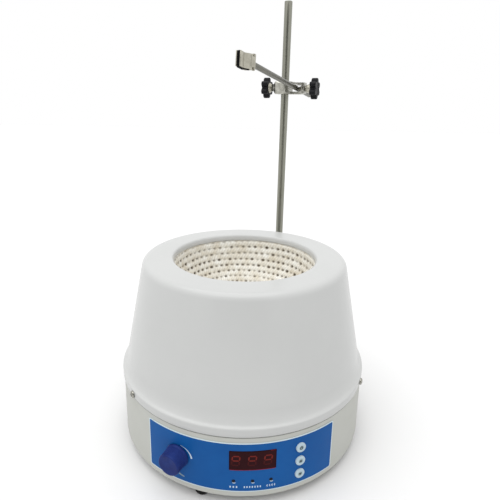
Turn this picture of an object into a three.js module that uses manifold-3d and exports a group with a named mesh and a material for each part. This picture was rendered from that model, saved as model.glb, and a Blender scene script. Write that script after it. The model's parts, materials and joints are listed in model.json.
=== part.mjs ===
// A stirring heating mantle for round bottom flasks, with its support rod, boss head and rubber-lined clip.
// Millimetres, +Z up, the front panel towards -Y. Heights are written from the base shell's lower edge,
// and the whole group is lifted onto its feet at the end. An azimuth is counted from the front (-Y)
// towards the right (+X).
import * as THREE from "three";
import { mergeVertices } from "three/addons/utils/BufferGeometryUtils.js";
import Module from "manifold-3d";

const wasm = await Module();
wasm.setup();

// ---------- driving dimensions ----------
const GAP = 0.3; // clearance between pieces that touch
const ROUND = 48; // facets round the large turned sheets

const FOOT_HEIGHT = 10;
const FOOT_R = 8;
const FOOT_RING_R = 126;
const FOOT_AZIMUTHS = [-17.5, 72.5, 162.5, 252.5];

const BASE_TOP_R = 137.6;
const BASE_BOTTOM_R = 139.0;
const BASE_WALL = 1.2;
const BASE_TOP_Z = 74.6;
const BASE_CORNER_R = 2.5;
const SERVICE_HOLE_R = 104;

const TOP_Z = 197.2;
const MOUTH_R = 78;
const CONE_TOP_R = 110.9;
const CONE_LOW_R = 131.9;
const CONE_LOW_Z = 94.2;
const SHOULDER = 7;
const SKIRT_R = 138.8;
const SKIRT_Z = 68.4;
const LIP_Z = 75.5;
const SHELL_WALL = 0.9;
const LIP_DEPTH = 6.5;
const SHELL_SCREW_AZIMUTHS = [-53.5, 66.5, 186.5];
const SHELL_SCREW_Z = 72.4;

const PANEL = { from: -41.3, to: 40.3, low: 7.2, high: 62.2, thickness: 0.5 };
const WINDOW = { from: -4.8, to: 13.6, low: 33.1, high: 54.0 };
const KNOB = { azimuth: -26, z: 36.5, faceR: 11.3, rimR: 12.2, length: 15.2 };
const BUTTON_AZIMUTH = 23.6;
const BUTTON_R = 5;
const BUTTONS = { button_set: 49.2, button_up: 34.1, button_down: 19.2 };
const LAMP_Z = 19.8;
const LAMP_R = 1.5;
const LAMPS = { lamp_set: -3.0, lamp_stir: 4.35, lamp_heat: 11.6 };

const BOWL_R = 76.8; // inner radius of the fibre bowl at its rim
const BOWL_RIM_Z = 190;
const BOWL_DEPTH = 69;
const BOWL_WALL = 6;
const COIL_WIRE_R = 1.3;
const WOOL_R = 100;
const CUP_R = 101.5;
const CUP_BOTTOM_Z = 96;

const REAR = { azimuth: 200, halfAngle: 21.7, low: 14, high: 58, plateR: 127, halfWidth: 49.8 };
const REAR_MID_Z = (REAR.low + REAR.high) / 2;

const ROD_R = 5;
const ROD_AZIMUTH = 162.2;
const ROD_RING_R = 163;
const ROD_BOTTOM_Z = 22.3;
const ROD_TOP_Z = 481.7;
const BRACKET = { low: 16, high: 58, halfWidth: 13, lockZ: 44, screwZs: [26, 51], screwEnd: 150 };

const BOSS_Z = 379.5;
const BOSS_TURN = -24; // degrees: the screws' axis, seen from above, against +X
const STUD_R = 3;
const STAR_R = 13;
const STAR_THICKNESS = 8;
const STAR_LOBES = 6;
const ARM_R = 3;
const ARM_OFFSET = 17; // from the rod's axis to the arm's, along the screws
const ARM_DROP = -1; // the arm's axis against the boss's mid height
const ARM_RISE = 6; // degrees that the arm climbs towards its clip
const ARM_BACK = 58;
const ARM_FRONT = 166;
const CLIP_START = 166;

// ---------- geometry helpers ----------
const deg = THREE.MathUtils.degToRad;
const v2 = (x, y) => new THREE.Vector2(x, y);

// A closed three.js geometry as a manifold solid, turned outside out if its profile ran the other way.
function solid(geometry) {
  const bare = geometry.clone();
  bare.deleteAttribute("normal");
  bare.deleteAttribute("uv");
  const merged = mergeVertices(bare, 1e-4);
  const vertProperties = new Float32Array(merged.attributes.position.array);
  const triVerts = new Uint32Array(merged.index.array);
  const made = new wasm.Manifold(new wasm.Mesh({ numProp: 3, vertProperties, triVerts }));
  if (made.volume() >= 0) return made;
  for (let i = 0; i < triVerts.length; i += 3) {
    [triVerts[i], triVerts[i + 1]] = [triVerts[i + 1], triVerts[i]];
  }
  return new wasm.Manifold(new wasm.Mesh({ numProp: 3, vertProperties, triVerts }));
}

const join = (first, ...rest) => rest.reduce((sum, s) => sum.add(s), first);
const cut = (first, ...rest) => rest.reduce((left, s) => left.subtract(s), first);

function geometryOf(made) {
  const mesh = made.getMesh();
  const positions = new Float32Array(mesh.numVert * 3);
  for (let i = 0; i < mesh.numVert; i++) {
    positions.set(mesh.vertProperties.subarray(i * mesh.numProp, i * mesh.numProp + 3), i * 3);
  }
  const geometry = new THREE.BufferGeometry();
  geometry.setAttribute("position", new THREE.BufferAttribute(positions, 3));
  geometry.setIndex(new THREE.BufferAttribute(new Uint32Array(mesh.triVerts), 1));
  geometry.computeVertexNormals();
  return geometry;
}

// A turned solid about Z. The profile's points are (radius, height).
function turned(profile, segments = 32) {
  return new THREE.LatheGeometry(profile, segments).rotateX(Math.PI / 2);
}

function cylinder(radius, low, high, segments = 24) {
  return turned([v2(0, low), v2(radius, low), v2(radius, high), v2(0, high)], segments);
}

function box(x0, x1, y0, y1, z0, z1) {
  return new THREE.BoxGeometry(x1 - x0, y1 - y0, z1 - z0).translate(
    (x0 + x1) / 2,
    (y0 + y1) / 2,
    (z0 + z1) / 2,
  );
}

function prism(points, low, high) {
  const shape = points instanceof THREE.Shape ? points : new THREE.Shape(points);
  return new THREE.ExtrudeGeometry(shape, {
    depth: high - low,
    bevelEnabled: false,
    curveSegments: 5,
  }).translate(0, 0, low);
}

// A prism whose outline edges are rounded off by bevel, keeping its outer size.
function softPrism(shape, low, high, bevel) {
  return new THREE.ExtrudeGeometry(shape, {
    depth: high - low - 2 * bevel,
    bevelThickness: bevel,
    bevelSize: bevel,
    bevelOffset: -bevel,
    bevelSegments: 1,
    curveSegments: 5,
  }).translate(0, 0, low + bevel);
}

// A wedge of everything between two azimuths, for cutting sectors out of turned solids.
function sector(from, to, low, high, radius = 170) {
  const steps = 6;
  const points = [v2(0, 0)];
  for (let i = 0; i <= steps; i++) {
    const azimuth = deg(from + ((to - from) * i) / steps);
    points.push(v2(radius * Math.sin(azimuth), -radius * Math.cos(azimuth)));
  }
  return prism(points, low, high);
}

// A frame on the wall: X to the right along the wall, Y up, Z straight out.
function wallFrame(azimuth, z, radius = 0) {
  const a = deg(azimuth);
  return new THREE.Matrix4()
    .makeBasis(
      new THREE.Vector3(Math.cos(a), Math.sin(a), 0),
      new THREE.Vector3(0, 0, 1),
      new THREE.Vector3(Math.sin(a), -Math.cos(a), 0),
    )
    .setPosition(radius * Math.sin(a), -radius * Math.cos(a), z);
}

const wallPin = (azimuth, z, radius, from, to, segments = 16) =>
  cylinder(radius, from, to, segments).applyMatrix4(wallFrame(azimuth, z));

// The same curve, moved sideways by distance (to the left of its run).
function offsetCurve(points, distance) {
  return points.map((p, i) => {
    const before = points[Math.max(i - 1, 0)];
    const after = points[Math.min(i + 1, points.length - 1)];
    const run = after.clone().sub(before).normalize();
    return v2(p.x - run.y * distance, p.y + run.x * distance);
  });
}

const baseWallR = (z) => BASE_TOP_R + ((BASE_BOTTOM_R - BASE_TOP_R) * (BASE_TOP_Z - z)) / BASE_TOP_Z;

function roundedRect(width, height, radius) {
  const x = width / 2;
  const y = height / 2;
  const shape = new THREE.Shape();
  shape.moveTo(-x + radius, -y);
  shape.lineTo(x - radius, -y);
  shape.absarc(x - radius, -y + radius, radius, -Math.PI / 2, 0);
  shape.lineTo(x, y - radius);
  shape.absarc(x - radius, y - radius, radius, 0, Math.PI / 2);
  shape.lineTo(-x + radius, y);
  shape.absarc(-x + radius, y - radius, radius, Math.PI / 2, Math.PI);
  shape.lineTo(-x, -y + radius);
  shape.absarc(-x + radius, -y + radius, radius, Math.PI, 1.5 * Math.PI);
  return shape;
}

// ---------- finishes ----------
const finish = (color, roughness, metalness = 0) => ({ color, roughness, metalness });
const WHITE_PAINT = finish(0xe6e7e7, 0.4);
const GREY_PAINT = finish(0xb9bcb6, 0.5);
const PANEL_BLUE = finish(0x1a5296, 0.45);
const KNOB_BLUE = finish(0x1f2f66, 0.4);
const WHITE_PLASTIC = finish(0xdfe8ee, 0.35);
const BLACK_PLASTIC = finish(0x16181a, 0.5);
const BLACK_RUBBER = finish(0x111111, 0.85);
const WINDOW_RED = finish(0x2a1214, 0.15);
const CLEAR_LENS = finish(0xc8d4dc, 0.2);
const STEEL = finish(0xa8a8a2, 0.3, 1);
const NICKEL = finish(0xbcb8ac, 0.35, 1);
const ALUMINIUM = finish(0xb4b6b8, 0.4, 1);
const FIBRE = finish(0xe9e6da, 0.95);
const WOOL = finish(0xd8d4c8, 1);
const BOARD_GREEN = finish(0x1f6b3a, 0.5);
const IRON = finish(0x55565a, 0.5, 1);
const MAGNET = finish(0x8a8c90, 0.25, 1);

function piece(name, made, look) {
  const mesh = new THREE.Mesh(geometryOf(made), new THREE.MeshStandardMaterial(look));
  mesh.name = name;
  return mesh;
}

// ---------- base ----------
function baseOutline() {
  const corner = new THREE.Path();
  const wallStart = baseWallR(BASE_CORNER_R);
  corner.moveTo(SERVICE_HOLE_R, 0);
  corner.lineTo(wallStart - BASE_CORNER_R, 0);
  corner.quadraticCurveTo(wallStart, 0, wallStart, BASE_CORNER_R);
  corner.lineTo(BASE_TOP_R, BASE_TOP_Z);
  return corner.getPoints(3);
}

function baseShell() {
  const outer = baseOutline();
  const inner = offsetCurve(outer, BASE_WALL).reverse();
  const shell = solid(turned([...outer, ...inner, outer[0]], ROUND));
  const openings = [
    solid(sector(WINDOW.from - 0.2, WINDOW.to + 0.2, WINDOW.low - GAP, WINDOW.high + GAP)),
    solid(sector(REAR.azimuth - REAR.halfAngle, REAR.azimuth + REAR.halfAngle, REAR.low, REAR.high)),
    solid(wallPin(KNOB.azimuth, KNOB.z, 4.4, 120, 150)),
    ...Object.values(BUTTONS).map((z) => solid(wallPin(BUTTON_AZIMUTH, z, BUTTON_R + GAP, 120, 150))),
    ...Object.values(LAMPS).map((a) => solid(wallPin(a, LAMP_Z, LAMP_R + GAP, 120, 150, 12))),
    ...SHELL_SCREW_AZIMUTHS.map((a) => solid(wallPin(a, SHELL_SCREW_Z, 2.3, 120, 150, 12))),
    ...FOOT_AZIMUTHS.map((a) => solid(footPin(a, 3.4, -2, 3))),
    ...BRACKET.screwZs.map((z) => solid(wallPin(ROD_AZIMUTH, z, 2.3, 120, 150, 12))),
  ];
  return piece("base_shell", cut(shell, ...openings), WHITE_PAINT);
}

function footPin(azimuth, radius, low, high) {
  const a = deg(azimuth);
  return cylinder(radius, low, high, 16).translate(
    FOOT_RING_R * Math.sin(a),
    -FOOT_RING_R * Math.cos(a),
    0,
  );
}

// The plate that closes the service hole from inside, with rows of cooling slots.
function bottomPlate() {
  const low = BASE_WALL + GAP;
  const slots = [];
  for (let row = 0; row < 4; row++) {
    for (const side of [-1, 1]) {
      slots.push(solid(box(side * 62 - 16, side * 62 + 16, row * 9 - 20, row * 9 - 16, low - 1, low + 3)));
    }
  }
  return piece("bottom_plate", cut(solid(cylinder(112, low, low + 1.2, 36)), ...slots), GREY_PAINT);
}

// A push-in rubber foot: a tapered pad with a barbed stem through the base.
function rubberFoot(index) {
  const profile = [
    v2(0, -FOOT_HEIGHT),
    v2(FOOT_R - 1.5, -FOOT_HEIGHT),
    v2(FOOT_R, -FOOT_HEIGHT + 1.5),
    v2(FOOT_R + 0.8, -GAP),
    v2(3, -GAP),
    v2(3, BASE_WALL + GAP),
    v2(4.4, BASE_WALL + GAP + 0.1),
    v2(2.4, 5),
    v2(0, 5),
  ];
  const a = deg(FOOT_AZIMUTHS[index]);
  const foot = turned(profile, 14).translate(FOOT_RING_R * Math.sin(a), -FOOT_RING_R * Math.cos(a), 0);
  return piece(`rubber_foot_${index + 1}`, solid(foot), BLACK_RUBBER);
}

// ---------- upper shell ----------
function upperShell() {
  const slope = (CONE_LOW_R - CONE_TOP_R) / (TOP_Z - CONE_LOW_Z);
  const path = new THREE.Path();
  path.moveTo(MOUTH_R, TOP_Z - LIP_DEPTH);
  path.lineTo(MOUTH_R, TOP_Z - 2);
  path.lineTo(MOUTH_R + 0.6, TOP_Z - 0.6);
  path.lineTo(MOUTH_R + 2, TOP_Z);
  path.lineTo(CONE_TOP_R - SHOULDER, TOP_Z);
  path.quadraticCurveTo(CONE_TOP_R, TOP_Z, CONE_TOP_R + slope * SHOULDER, TOP_Z - SHOULDER);
  path.lineTo(CONE_LOW_R, CONE_LOW_Z);
  path.quadraticCurveTo(CONE_LOW_R + 2, CONE_LOW_Z - 9, SKIRT_R - 2.2, LIP_Z + 3);
  path.quadraticCurveTo(SKIRT_R, LIP_Z + 2, SKIRT_R, LIP_Z);
  path.lineTo(SKIRT_R, SKIRT_Z);
  const outer = path.getPoints(3);
  const inner = offsetCurve(path.getPoints(1), -SHELL_WALL).reverse();
  const shell = solid(turned([...outer, ...inner, outer[0]], ROUND));
  const holes = SHELL_SCREW_AZIMUTHS.map((a) => solid(wallPin(a, SHELL_SCREW_Z, 2.3, 120, 150, 12)));
  return piece("upper_shell", cut(shell, ...holes), WHITE_PAINT);
}

function shellScrew(index) {
  const head = SKIRT_R + GAP;
  const profile = [
    v2(0, 132),
    v2(2, 132),
    v2(2, head),
    v2(3.6, head),
    v2(3.4, head + 1.4),
    v2(2, head + 2.2),
    v2(0, head + 2.2),
  ];
  const screw = solid(turned(profile, 10));
  const bars = [solid(box(-0.4, 0.4, -2, 2, head + 1.2, head + 4)), solid(box(-2, 2, -0.4, 0.4, head + 1.2, head + 4))];
  const made = piece(`shell_screw_${index + 1}`, cut(screw, ...bars), STEEL);
  made.applyMatrix4(wallFrame(SHELL_SCREW_AZIMUTHS[index], SHELL_SCREW_Z));
  return made;
}

// ---------- front panel ----------
// A ring that follows the base wall between two distances from its outer face.
function wallRing(inside, outside, low, high) {
  const profile = [
    v2(baseWallR(low) + inside, low),
    v2(baseWallR(low) + outside, low),
    v2(baseWallR(high) + outside, high),
    v2(baseWallR(high) + inside, high),
    v2(baseWallR(low) + inside, low),
  ];
  return solid(turned(profile, ROUND));
}

function controlPanel() {
  const film = wallRing(GAP, GAP + PANEL.thickness, PANEL.low, PANEL.high);
  const sheet = film.intersect(solid(sector(PANEL.from, PANEL.to, 0, 70)));
  const openings = [
    solid(sector(WINDOW.from - 0.2, WINDOW.to + 0.2, WINDOW.low - GAP, WINDOW.high + GAP)),
    solid(wallPin(KNOB.azimuth, KNOB.z, 6, 120, 150)),
    ...Object.values(BUTTONS).map((z) => solid(wallPin(BUTTON_AZIMUTH, z, BUTTON_R + GAP, 120, 150))),
    ...Object.values(LAMPS).map((a) => solid(wallPin(a, LAMP_Z, LAMP_R + GAP, 120, 150, 12))),
  ];
  return piece("control_panel", cut(sheet, ...openings), PANEL_BLUE);
}

function displayWindow() {
  const ring = wallRing(-1, 0.6, WINDOW.low, WINDOW.high);
  return piece("display_window", ring.intersect(solid(sector(WINDOW.from, WINDOW.to, 0, 70))), WINDOW_RED);
}

// The three-digit display block, its board and the key switches on it share one frame.
const DISPLAY_AZIMUTH = (WINDOW.from + WINDOW.to) / 2;
const DISPLAY_Z = (WINDOW.low + WINDOW.high) / 2;

function displayModule() {
  const body = solid(box(-19, 19, -9, 9, 121.3, 130));
  const digits = [-12.5, 0, 12.5].map((x) => solid(box(x - 5, x + 5, -7.5, 7.5, 129.5, 130.6)));
  const made = piece("display_module", join(body, ...digits), BLACK_PLASTIC);
  made.applyMatrix4(wallFrame(DISPLAY_AZIMUTH, DISPLAY_Z));
  return made;
}

function displayBoard() {
  const board = solid(box(-30, 56, -35, 16, 119.4, 121));
  const made = piece("display_board", board, BOARD_GREEN);
  made.applyMatrix4(wallFrame(DISPLAY_AZIMUTH, DISPLAY_Z));
  return made;
}

// A push button: a round cap that slides through the panel, with a collar behind the wall.
function button(name, z) {
  const wall = baseWallR(z);
  const profile = [
    v2(0, wall - 8),
    v2(2, wall - 8),
    v2(2, wall - 4.5),
    v2(6.4, wall - 4.5),
    v2(6.4, wall - 2.6),
    v2(BUTTON_R, wall - 2.6),
    v2(BUTTON_R, wall + 2.0),
    v2(BUTTON_R - 0.8, wall + 2.6),
    v2(0, wall + 2.6),
  ];
  const made = piece(name, solid(turned(profile, 16)), WHITE_PLASTIC);
  made.applyMatrix4(wallFrame(BUTTON_AZIMUTH, z));
  return made;
}

function lamp(name, azimuth) {
  const wall = baseWallR(LAMP_Z);
  const profile = [
    v2(0, wall - 14),
    v2(LAMP_R + 0.5, wall - 14),
    v2(LAMP_R + 0.5, wall - 13),
    v2(LAMP_R, wall - 13),
    v2(LAMP_R, wall + 0.8),
    v2(LAMP_R * 0.7, wall + 1.6),
    v2(0, wall + 1.9),
  ];
  const made = piece(name, solid(turned(profile, 10)), CLEAR_LENS);
  made.applyMatrix4(wallFrame(azimuth, LAMP_Z));
  return made;
}

// The stirring speed knob, with a ring of shallow grip flutes and a blind bore for the shaft.
function stirKnob() {
  const base = baseWallR(KNOB.z) + 1.2;
  const face = base + KNOB.length;
  const profile = [
    v2(0, base),
    v2(KNOB.rimR, base),
    v2(KNOB.rimR, base + 2),
    v2(KNOB.faceR + 0.3, base + 3.5),
    v2(KNOB.faceR, face - 1),
    v2(KNOB.faceR - 1, face),
    v2(0, face),
  ];
  const flutes = [];
  for (let i = 0; i < 12; i++) {
    const a = (i * Math.PI) / 6;
    const groove = cylinder(0.8, base + 4.5, face + 1, 6);
    flutes.push(solid(groove.translate((KNOB.faceR + 0.4) * Math.cos(a), (KNOB.faceR + 0.4) * Math.sin(a), 0)));
  }
  const bore = solid(cylinder(3.3, base - 1, face - 3, 16));
  const nutRecess = solid(cylinder(8, base - 1, base + 4, 20));
  const pointer = solid(box(-0.6, 0.6, 3, KNOB.faceR + 1, face - 0.8, face + 1));
  const made = piece("stir_knob", cut(solid(turned(profile, 24)), ...flutes, bore, nutRecess, pointer), KNOB_BLUE);
  made.applyMatrix4(wallFrame(KNOB.azimuth, KNOB.z));
  return made;
}

function potentiometer() {
  const wall = baseWallR(KNOB.z) - BASE_WALL - 1.2;
  const can = solid(cylinder(8.5, wall - 10, wall, 24));
  const bush = solid(cylinder(4, wall - 1, wall + 7, 20));
  const bore = solid(cylinder(3.3, wall - 7, wall + 8, 16));
  const body = piece("potentiometer_body", cut(join(can, bush), bore), ALUMINIUM);
  const shaftEnd = baseWallR(KNOB.z) + 1.2 + KNOB.length - 3 - GAP;
  const shaft = piece("potentiometer_shaft", solid(cylinder(3, wall - 6.5, shaftEnd, 16)), STEEL);
  for (const made of [body, shaft]) made.applyMatrix4(wallFrame(KNOB.azimuth, KNOB.z));
  return [body, shaft];
}

// ---------- heated well ----------
// The well's inner surface, from its rim down to the axis.
function wellCurve(steps) {
  const points = [];
  for (let i = 0; i <= steps; i++) {
    const a = (i / steps) * (Math.PI / 2);
    points.push(v2(BOWL_R * Math.cos(a), BOWL_RIM_Z - BOWL_DEPTH * Math.sin(a)));
  }
  points[steps].x = 0;
  return points;
}

// The well's curve moved out by distance, starting flush with the rim and ending on the axis.
function wellOffset(steps, distance) {
  const points = offsetCurve(wellCurve(steps), distance);
  points[0].set(BOWL_R + distance, BOWL_RIM_Z);
  points[steps].set(0, BOWL_RIM_Z - BOWL_DEPTH - distance);
  return points;
}

function heatingBowl() {
  const profile = [...wellCurve(9).reverse(), ...wellOffset(7, BOWL_WALL)];
  return piece("heating_bowl", solid(turned(profile, 40)), FIBRE);
}

// The sheathed heating wire, wound in a spiral against the back of the fibre bowl.
class WellSpiral extends THREE.Curve {
  constructor(turns, distance) {
    super();
    this.turns = turns;
    this.distance = distance;
  }

  getPoint(t, target = new THREE.Vector3()) {
    const a = deg(22 + 40 * t);
    const radius = (BOWL_R + this.distance) * Math.cos(a);
    const z = BOWL_RIM_Z - (BOWL_DEPTH + this.distance) * Math.sin(a);
    const turn = 2 * Math.PI * this.turns * t;
    return target.set(radius * Math.cos(turn), radius * Math.sin(turn), z);
  }
}

function heatingCoil() {
  const section = new THREE.Shape();
  const sides = 4;
  for (let i = 0; i < sides; i++) {
    const a = (i / sides) * 2 * Math.PI;
    const method = i ? "lineTo" : "moveTo";
    section[method](COIL_WIRE_R * Math.cos(a), COIL_WIRE_R * Math.sin(a));
  }
  const tube = new THREE.ExtrudeGeometry(section, {
    steps: 72,
    extrudePath: new WellSpiral(4, BOWL_WALL + 3.2),
    bevelEnabled: false,
  });
  return piece("heating_coil", solid(tube), STEEL);
}

function insulation() {
  const profile = [v2(0, 98), v2(WOOL_R, 98), v2(WOOL_R, BOWL_RIM_Z - 2), ...wellOffset(6, BOWL_WALL + 6.5)];
  profile[3].y = BOWL_RIM_Z - 2;
  return piece("insulation", solid(turned(profile, 28)), WOOL);
}

function innerCup() {
  const wall = 1;
  const profile = [
    v2(0, CUP_BOTTOM_Z),
    v2(CUP_R, CUP_BOTTOM_Z),
    v2(CUP_R, 192),
    v2(CUP_R + 5, 192),
    v2(CUP_R + 5, 193),
    v2(CUP_R - wall, 193),
    v2(CUP_R - wall, CUP_BOTTOM_Z + wall),
    v2(0, CUP_BOTTOM_Z + wall),
  ];
  return piece("inner_cup", solid(turned(profile, 28)), ALUMINIUM);
}

// A ring on three legs that carries the cup above the motor.
function cupStand() {
  const top = CUP_BOTTOM_Z - GAP;
  const ring = solid(turned([v2(78, top - 3), v2(94, top - 3), v2(94, top), v2(78, top), v2(78, top - 3)], 28));
  const legs = [-90, 30, 150].map((azimuth) => {
    const a = deg(azimuth);
    return solid(cylinder(4, 3, top - 1, 10).translate(86 * Math.sin(a), -86 * Math.cos(a), 0));
  });
  return piece("cup_stand", join(ring, ...legs), STEEL);
}

// ---------- stirring drive ----------
function stirMotor() {
  const can = solid(cylinder(18, 36.3, 72, 28));
  const nose = solid(cylinder(6, 71, 75, 16));
  return piece("stir_motor", cut(join(can, nose), solid(cylinder(2.8, 60, 80, 16))), IRON);
}

function motorBracket() {
  const outline = [v2(-44, 3), v2(-28, 3), v2(-28, 34), v2(28, 34), v2(28, 3), v2(44, 3)];
  const inner = [v2(44, 5), v2(30, 5), v2(30, 36), v2(-30, 36), v2(-30, 5), v2(-44, 5)];
  const strap = prism([...outline, ...inner], -22, 22).rotateX(Math.PI / 2);
  return piece("motor_bracket", solid(strap), STEEL);
}

function magnetDrive() {
  const profile = [v2(0, 61), v2(2.5, 61), v2(2.5, 79), v2(7, 79), v2(7, 83), v2(30, 83), v2(30, 86), v2(0, 86)];
  const carrier = piece("magnet_carrier", solid(turned(profile, 20)), ALUMINIUM);
  const bar = piece("stir_magnet", solid(box(-26, 26, -7, 7, 86.3, 93)), MAGNET);
  return [carrier, bar];
}

// ---------- power electronics ----------
function powerBoard() {
  const board = solid(box(60, 118, -38, 38, 11, 12.6));
  const posts = [
    [65, -33],
    [113, -33],
    [65, 33],
    [113, 33],
  ].map(([x, y]) => solid(cylinder(2.5, 3, 11.5, 10).translate(x, y, 0)));
  const parts = [
    solid(box(64, 74, -24, -8, 12, 28)),
    solid(cylinder(5, 12, 30, 12).translate(70, 4, 0)),
    solid(box(64, 78, 16, 28, 12, 24)),
  ];
  return piece("power_board", join(board, ...posts, ...parts), BOARD_GREEN);
}

function transformer() {
  const core = solid(box(82, 114, -34, -2, 12.9, 44));
  const winding = solid(box(78.5, 117, -27, -9, 18, 39));
  return piece("transformer", join(core, winding), IRON);
}

function triacHeatsink() {
  const back = solid(box(84, 112, 8, 12, 12.9, 42));
  const fins = [0, 1, 2, 3, 4].map((i) => solid(box(84 + i * 6.5, 86 + i * 6.5, 11, 30, 12.9, 42)));
  return piece("triac_heatsink", join(back, ...fins), ALUMINIUM);
}

// ---------- rear connections ----------
const INLET_X = -28;
const ROCKER_X = 1.5;
const FUSE_X = 23.5;
const SENSOR_X = 39.5;
const rearFrame = () => wallFrame(REAR.azimuth, REAR_MID_Z, REAR.plateR);

function atRear(made) {
  made.applyMatrix4(rearFrame());
  return made;
}

// A flat plate behind the wall's opening, with a shelf above and below that reaches the wall.
function rearPanel() {
  const half = (REAR.high - REAR.low) / 2 - GAP;
  const width = REAR.halfWidth;
  const plate = solid(box(-width, width, -half, half, -2, 0));
  const arc = [];
  for (let i = 0; i <= 8; i++) {
    const x = -width + (2 * width * i) / 8;
    const reach = Math.sqrt((BASE_TOP_R + 0.4) ** 2 - x * x) - REAR.plateR;
    arc.push(v2(x, -Math.max(reach, 0.4)));
  }
  const crescent = prism([v2(-width, 1), ...arc, v2(width, 1)], -0.6, 0.6).rotateX(Math.PI / 2);
  const shelves = [half - 0.6, 0.6 - half].map((y) => solid(crescent.clone().translate(0, y, 0)));
  const openings = [
    solid(box(INLET_X - 14, INLET_X + 14, -10.4, 10.4, -5, 5)),
    solid(box(ROCKER_X - 7, ROCKER_X + 7, -10.4, 10.4, -5, 5)),
    solid(cylinder(6.4, -5, 5, 24).translate(FUSE_X, 0, 0)),
    solid(cylinder(7, -5, 5, 24).translate(SENSOR_X, 0, 0)),
  ];
  return atRear(piece("rear_panel", cut(join(plate, ...shelves), ...openings), GREY_PAINT));
}

function powerInlet() {
  const flange = solid(prism(roundedRect(31, 25, 3), GAP, 3));
  const body = solid(box(INLET_X - 13.6, INLET_X + 13.6, -10, 10, -20, 2).translate(-INLET_X, 0, 0));
  const mouth = solid(prism(roundedRect(24, 16, 3), -14, 5));
  const pins = [-7, 0, 7].map((x) => solid(box(x - 2, x + 2, x ? -1 : -3.5, x ? 1 : -1.5, -15, -3)));
  const made = join(cut(join(flange, body), mouth), ...pins);
  const inlet = piece("power_inlet", made, BLACK_PLASTIC);
  inlet.position.x = INLET_X;
  return inlet;
}

function powerSwitch() {
  const flange = solid(prism(roundedRect(16, 23, 1.5), GAP, 2.3));
  const body = solid(box(-6.6, 6.6, -10, 10, -14, 1));
  const well = solid(box(-5.2, 5.2, -8.6, 8.6, -9, 5));
  const frame = piece("switch_frame", cut(join(flange, body), well), BLACK_PLASTIC);
  frame.position.x = ROCKER_X;

  // The rocker's side view: a shallow V on top, an arc below, turning about the frame's X axis.
  const side = new THREE.Shape();
  side.moveTo(-7.6, 2.6);
  side.lineTo(0, 1.2);
  side.lineTo(7.6, 2.6);
  side.lineTo(7.2, -1.2);
  side.absarc(0, -1.6, 4, 0, -Math.PI, true);
  side.lineTo(-7.2, -1.2);
  const rocker = solid(
    prism(side, -4.8, 4.8).applyMatrix4(
      new THREE.Matrix4().makeBasis(
        new THREE.Vector3(0, 1, 0),
        new THREE.Vector3(0, 0, 1),
        new THREE.Vector3(1, 0, 0),
      ),
    ),
  );
  const rockerMesh = piece("power_rocker", rocker, BLACK_PLASTIC);
  rockerMesh.position.set(ROCKER_X, 0, 1.4);
  rockerMesh.rotation.x = deg(-9);
  return [frame, rockerMesh];
}

function fuseParts() {
  const tube = [v2(0, -24), v2(6, -24), v2(6, GAP), v2(7.6, GAP), v2(7.6, 1.8), v2(4.4, 1.8), v2(4.4, -20), v2(0, -20)];
  const holder = piece("fuse_holder", solid(turned(tube, 18)), BLACK_PLASTIC);
  const capProfile = [v2(0, -18), v2(3.2, -18), v2(3.2, 2.1), v2(6.6, 2.1), v2(6.2, 7), v2(0, 7)];
  const slot = solid(box(-5, 5, -0.8, 0.8, 5.8, 9));
  const cap = piece("fuse_cap", cut(solid(turned(capProfile, 18)), slot), BLACK_PLASTIC);
  holder.position.x = FUSE_X;
  cap.position.x = FUSE_X;
  return [holder, cap];
}

function sensorSocket() {
  const profile = [
    v2(0, -12),
    v2(6.6, -12),
    v2(6.6, GAP),
    v2(8.2, GAP),
    v2(8.2, 2),
    v2(6.4, 5),
    v2(5, 5),
    v2(5, 1.5),
    v2(0, 1.5),
  ];
  const made = piece("sensor_socket", solid(turned(profile, 18)), NICKEL);
  made.position.x = SENSOR_X;
  return made;
}

// ---------- support rod and its bracket ----------
function rodBracket() {
  const shape = new THREE.Shape();
  const start = BASE_BOTTOM_R - 6;
  shape.moveTo(-BRACKET.halfWidth, start);
  shape.lineTo(-BRACKET.halfWidth, ROD_RING_R);
  shape.absarc(0, ROD_RING_R, BRACKET.halfWidth, Math.PI, 0, true);
  shape.lineTo(BRACKET.halfWidth, start);
  const a = deg(ROD_AZIMUTH);
  const block = prism(shape, BRACKET.low, BRACKET.high).rotateZ(a - Math.PI);
  const rodHole = cylinder(ROD_R + GAP, ROD_BOTTOM_Z - GAP, 80, 32).translate(
    ROD_RING_R * Math.sin(a),
    -ROD_RING_R * Math.cos(a),
    0,
  );
  const wallFace = turned([v2(0, 0), v2(BASE_BOTTOM_R + GAP, 0), v2(BASE_BOTTOM_R + GAP, 90), v2(0, 90)], 90);
  const lockHole = wallPin(ROD_AZIMUTH, BRACKET.lockZ, STUD_R + GAP, ROD_RING_R, 200);
  const screwHoles = BRACKET.screwZs.map((z) =>
    solid(wallPin(ROD_AZIMUTH, z, 2.3, 120, BRACKET.screwEnd + GAP, 12)),
  );
  const made = cut(solid(block), solid(rodHole), solid(wallFace), solid(lockHole), ...screwHoles);
  return piece("rod_bracket", made, ALUMINIUM);
}

// A screw from inside the base, through its wall and into the bracket.
function bracketScrew(index) {
  const z = BRACKET.screwZs[index];
  const seat = baseWallR(z) - BASE_WALL - 2.5 * GAP;
  const profile = [
    v2(0, seat - 2.4),
    v2(3.8, seat - 2.4),
    v2(3.8, seat),
    v2(2, seat),
    v2(2, BRACKET.screwEnd),
    v2(0, BRACKET.screwEnd),
  ];
  const made = piece(`bracket_screw_${index + 1}`, solid(turned(profile, 12)), STEEL);
  made.applyMatrix4(wallFrame(ROD_AZIMUTH, z));
  return made;
}

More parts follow.
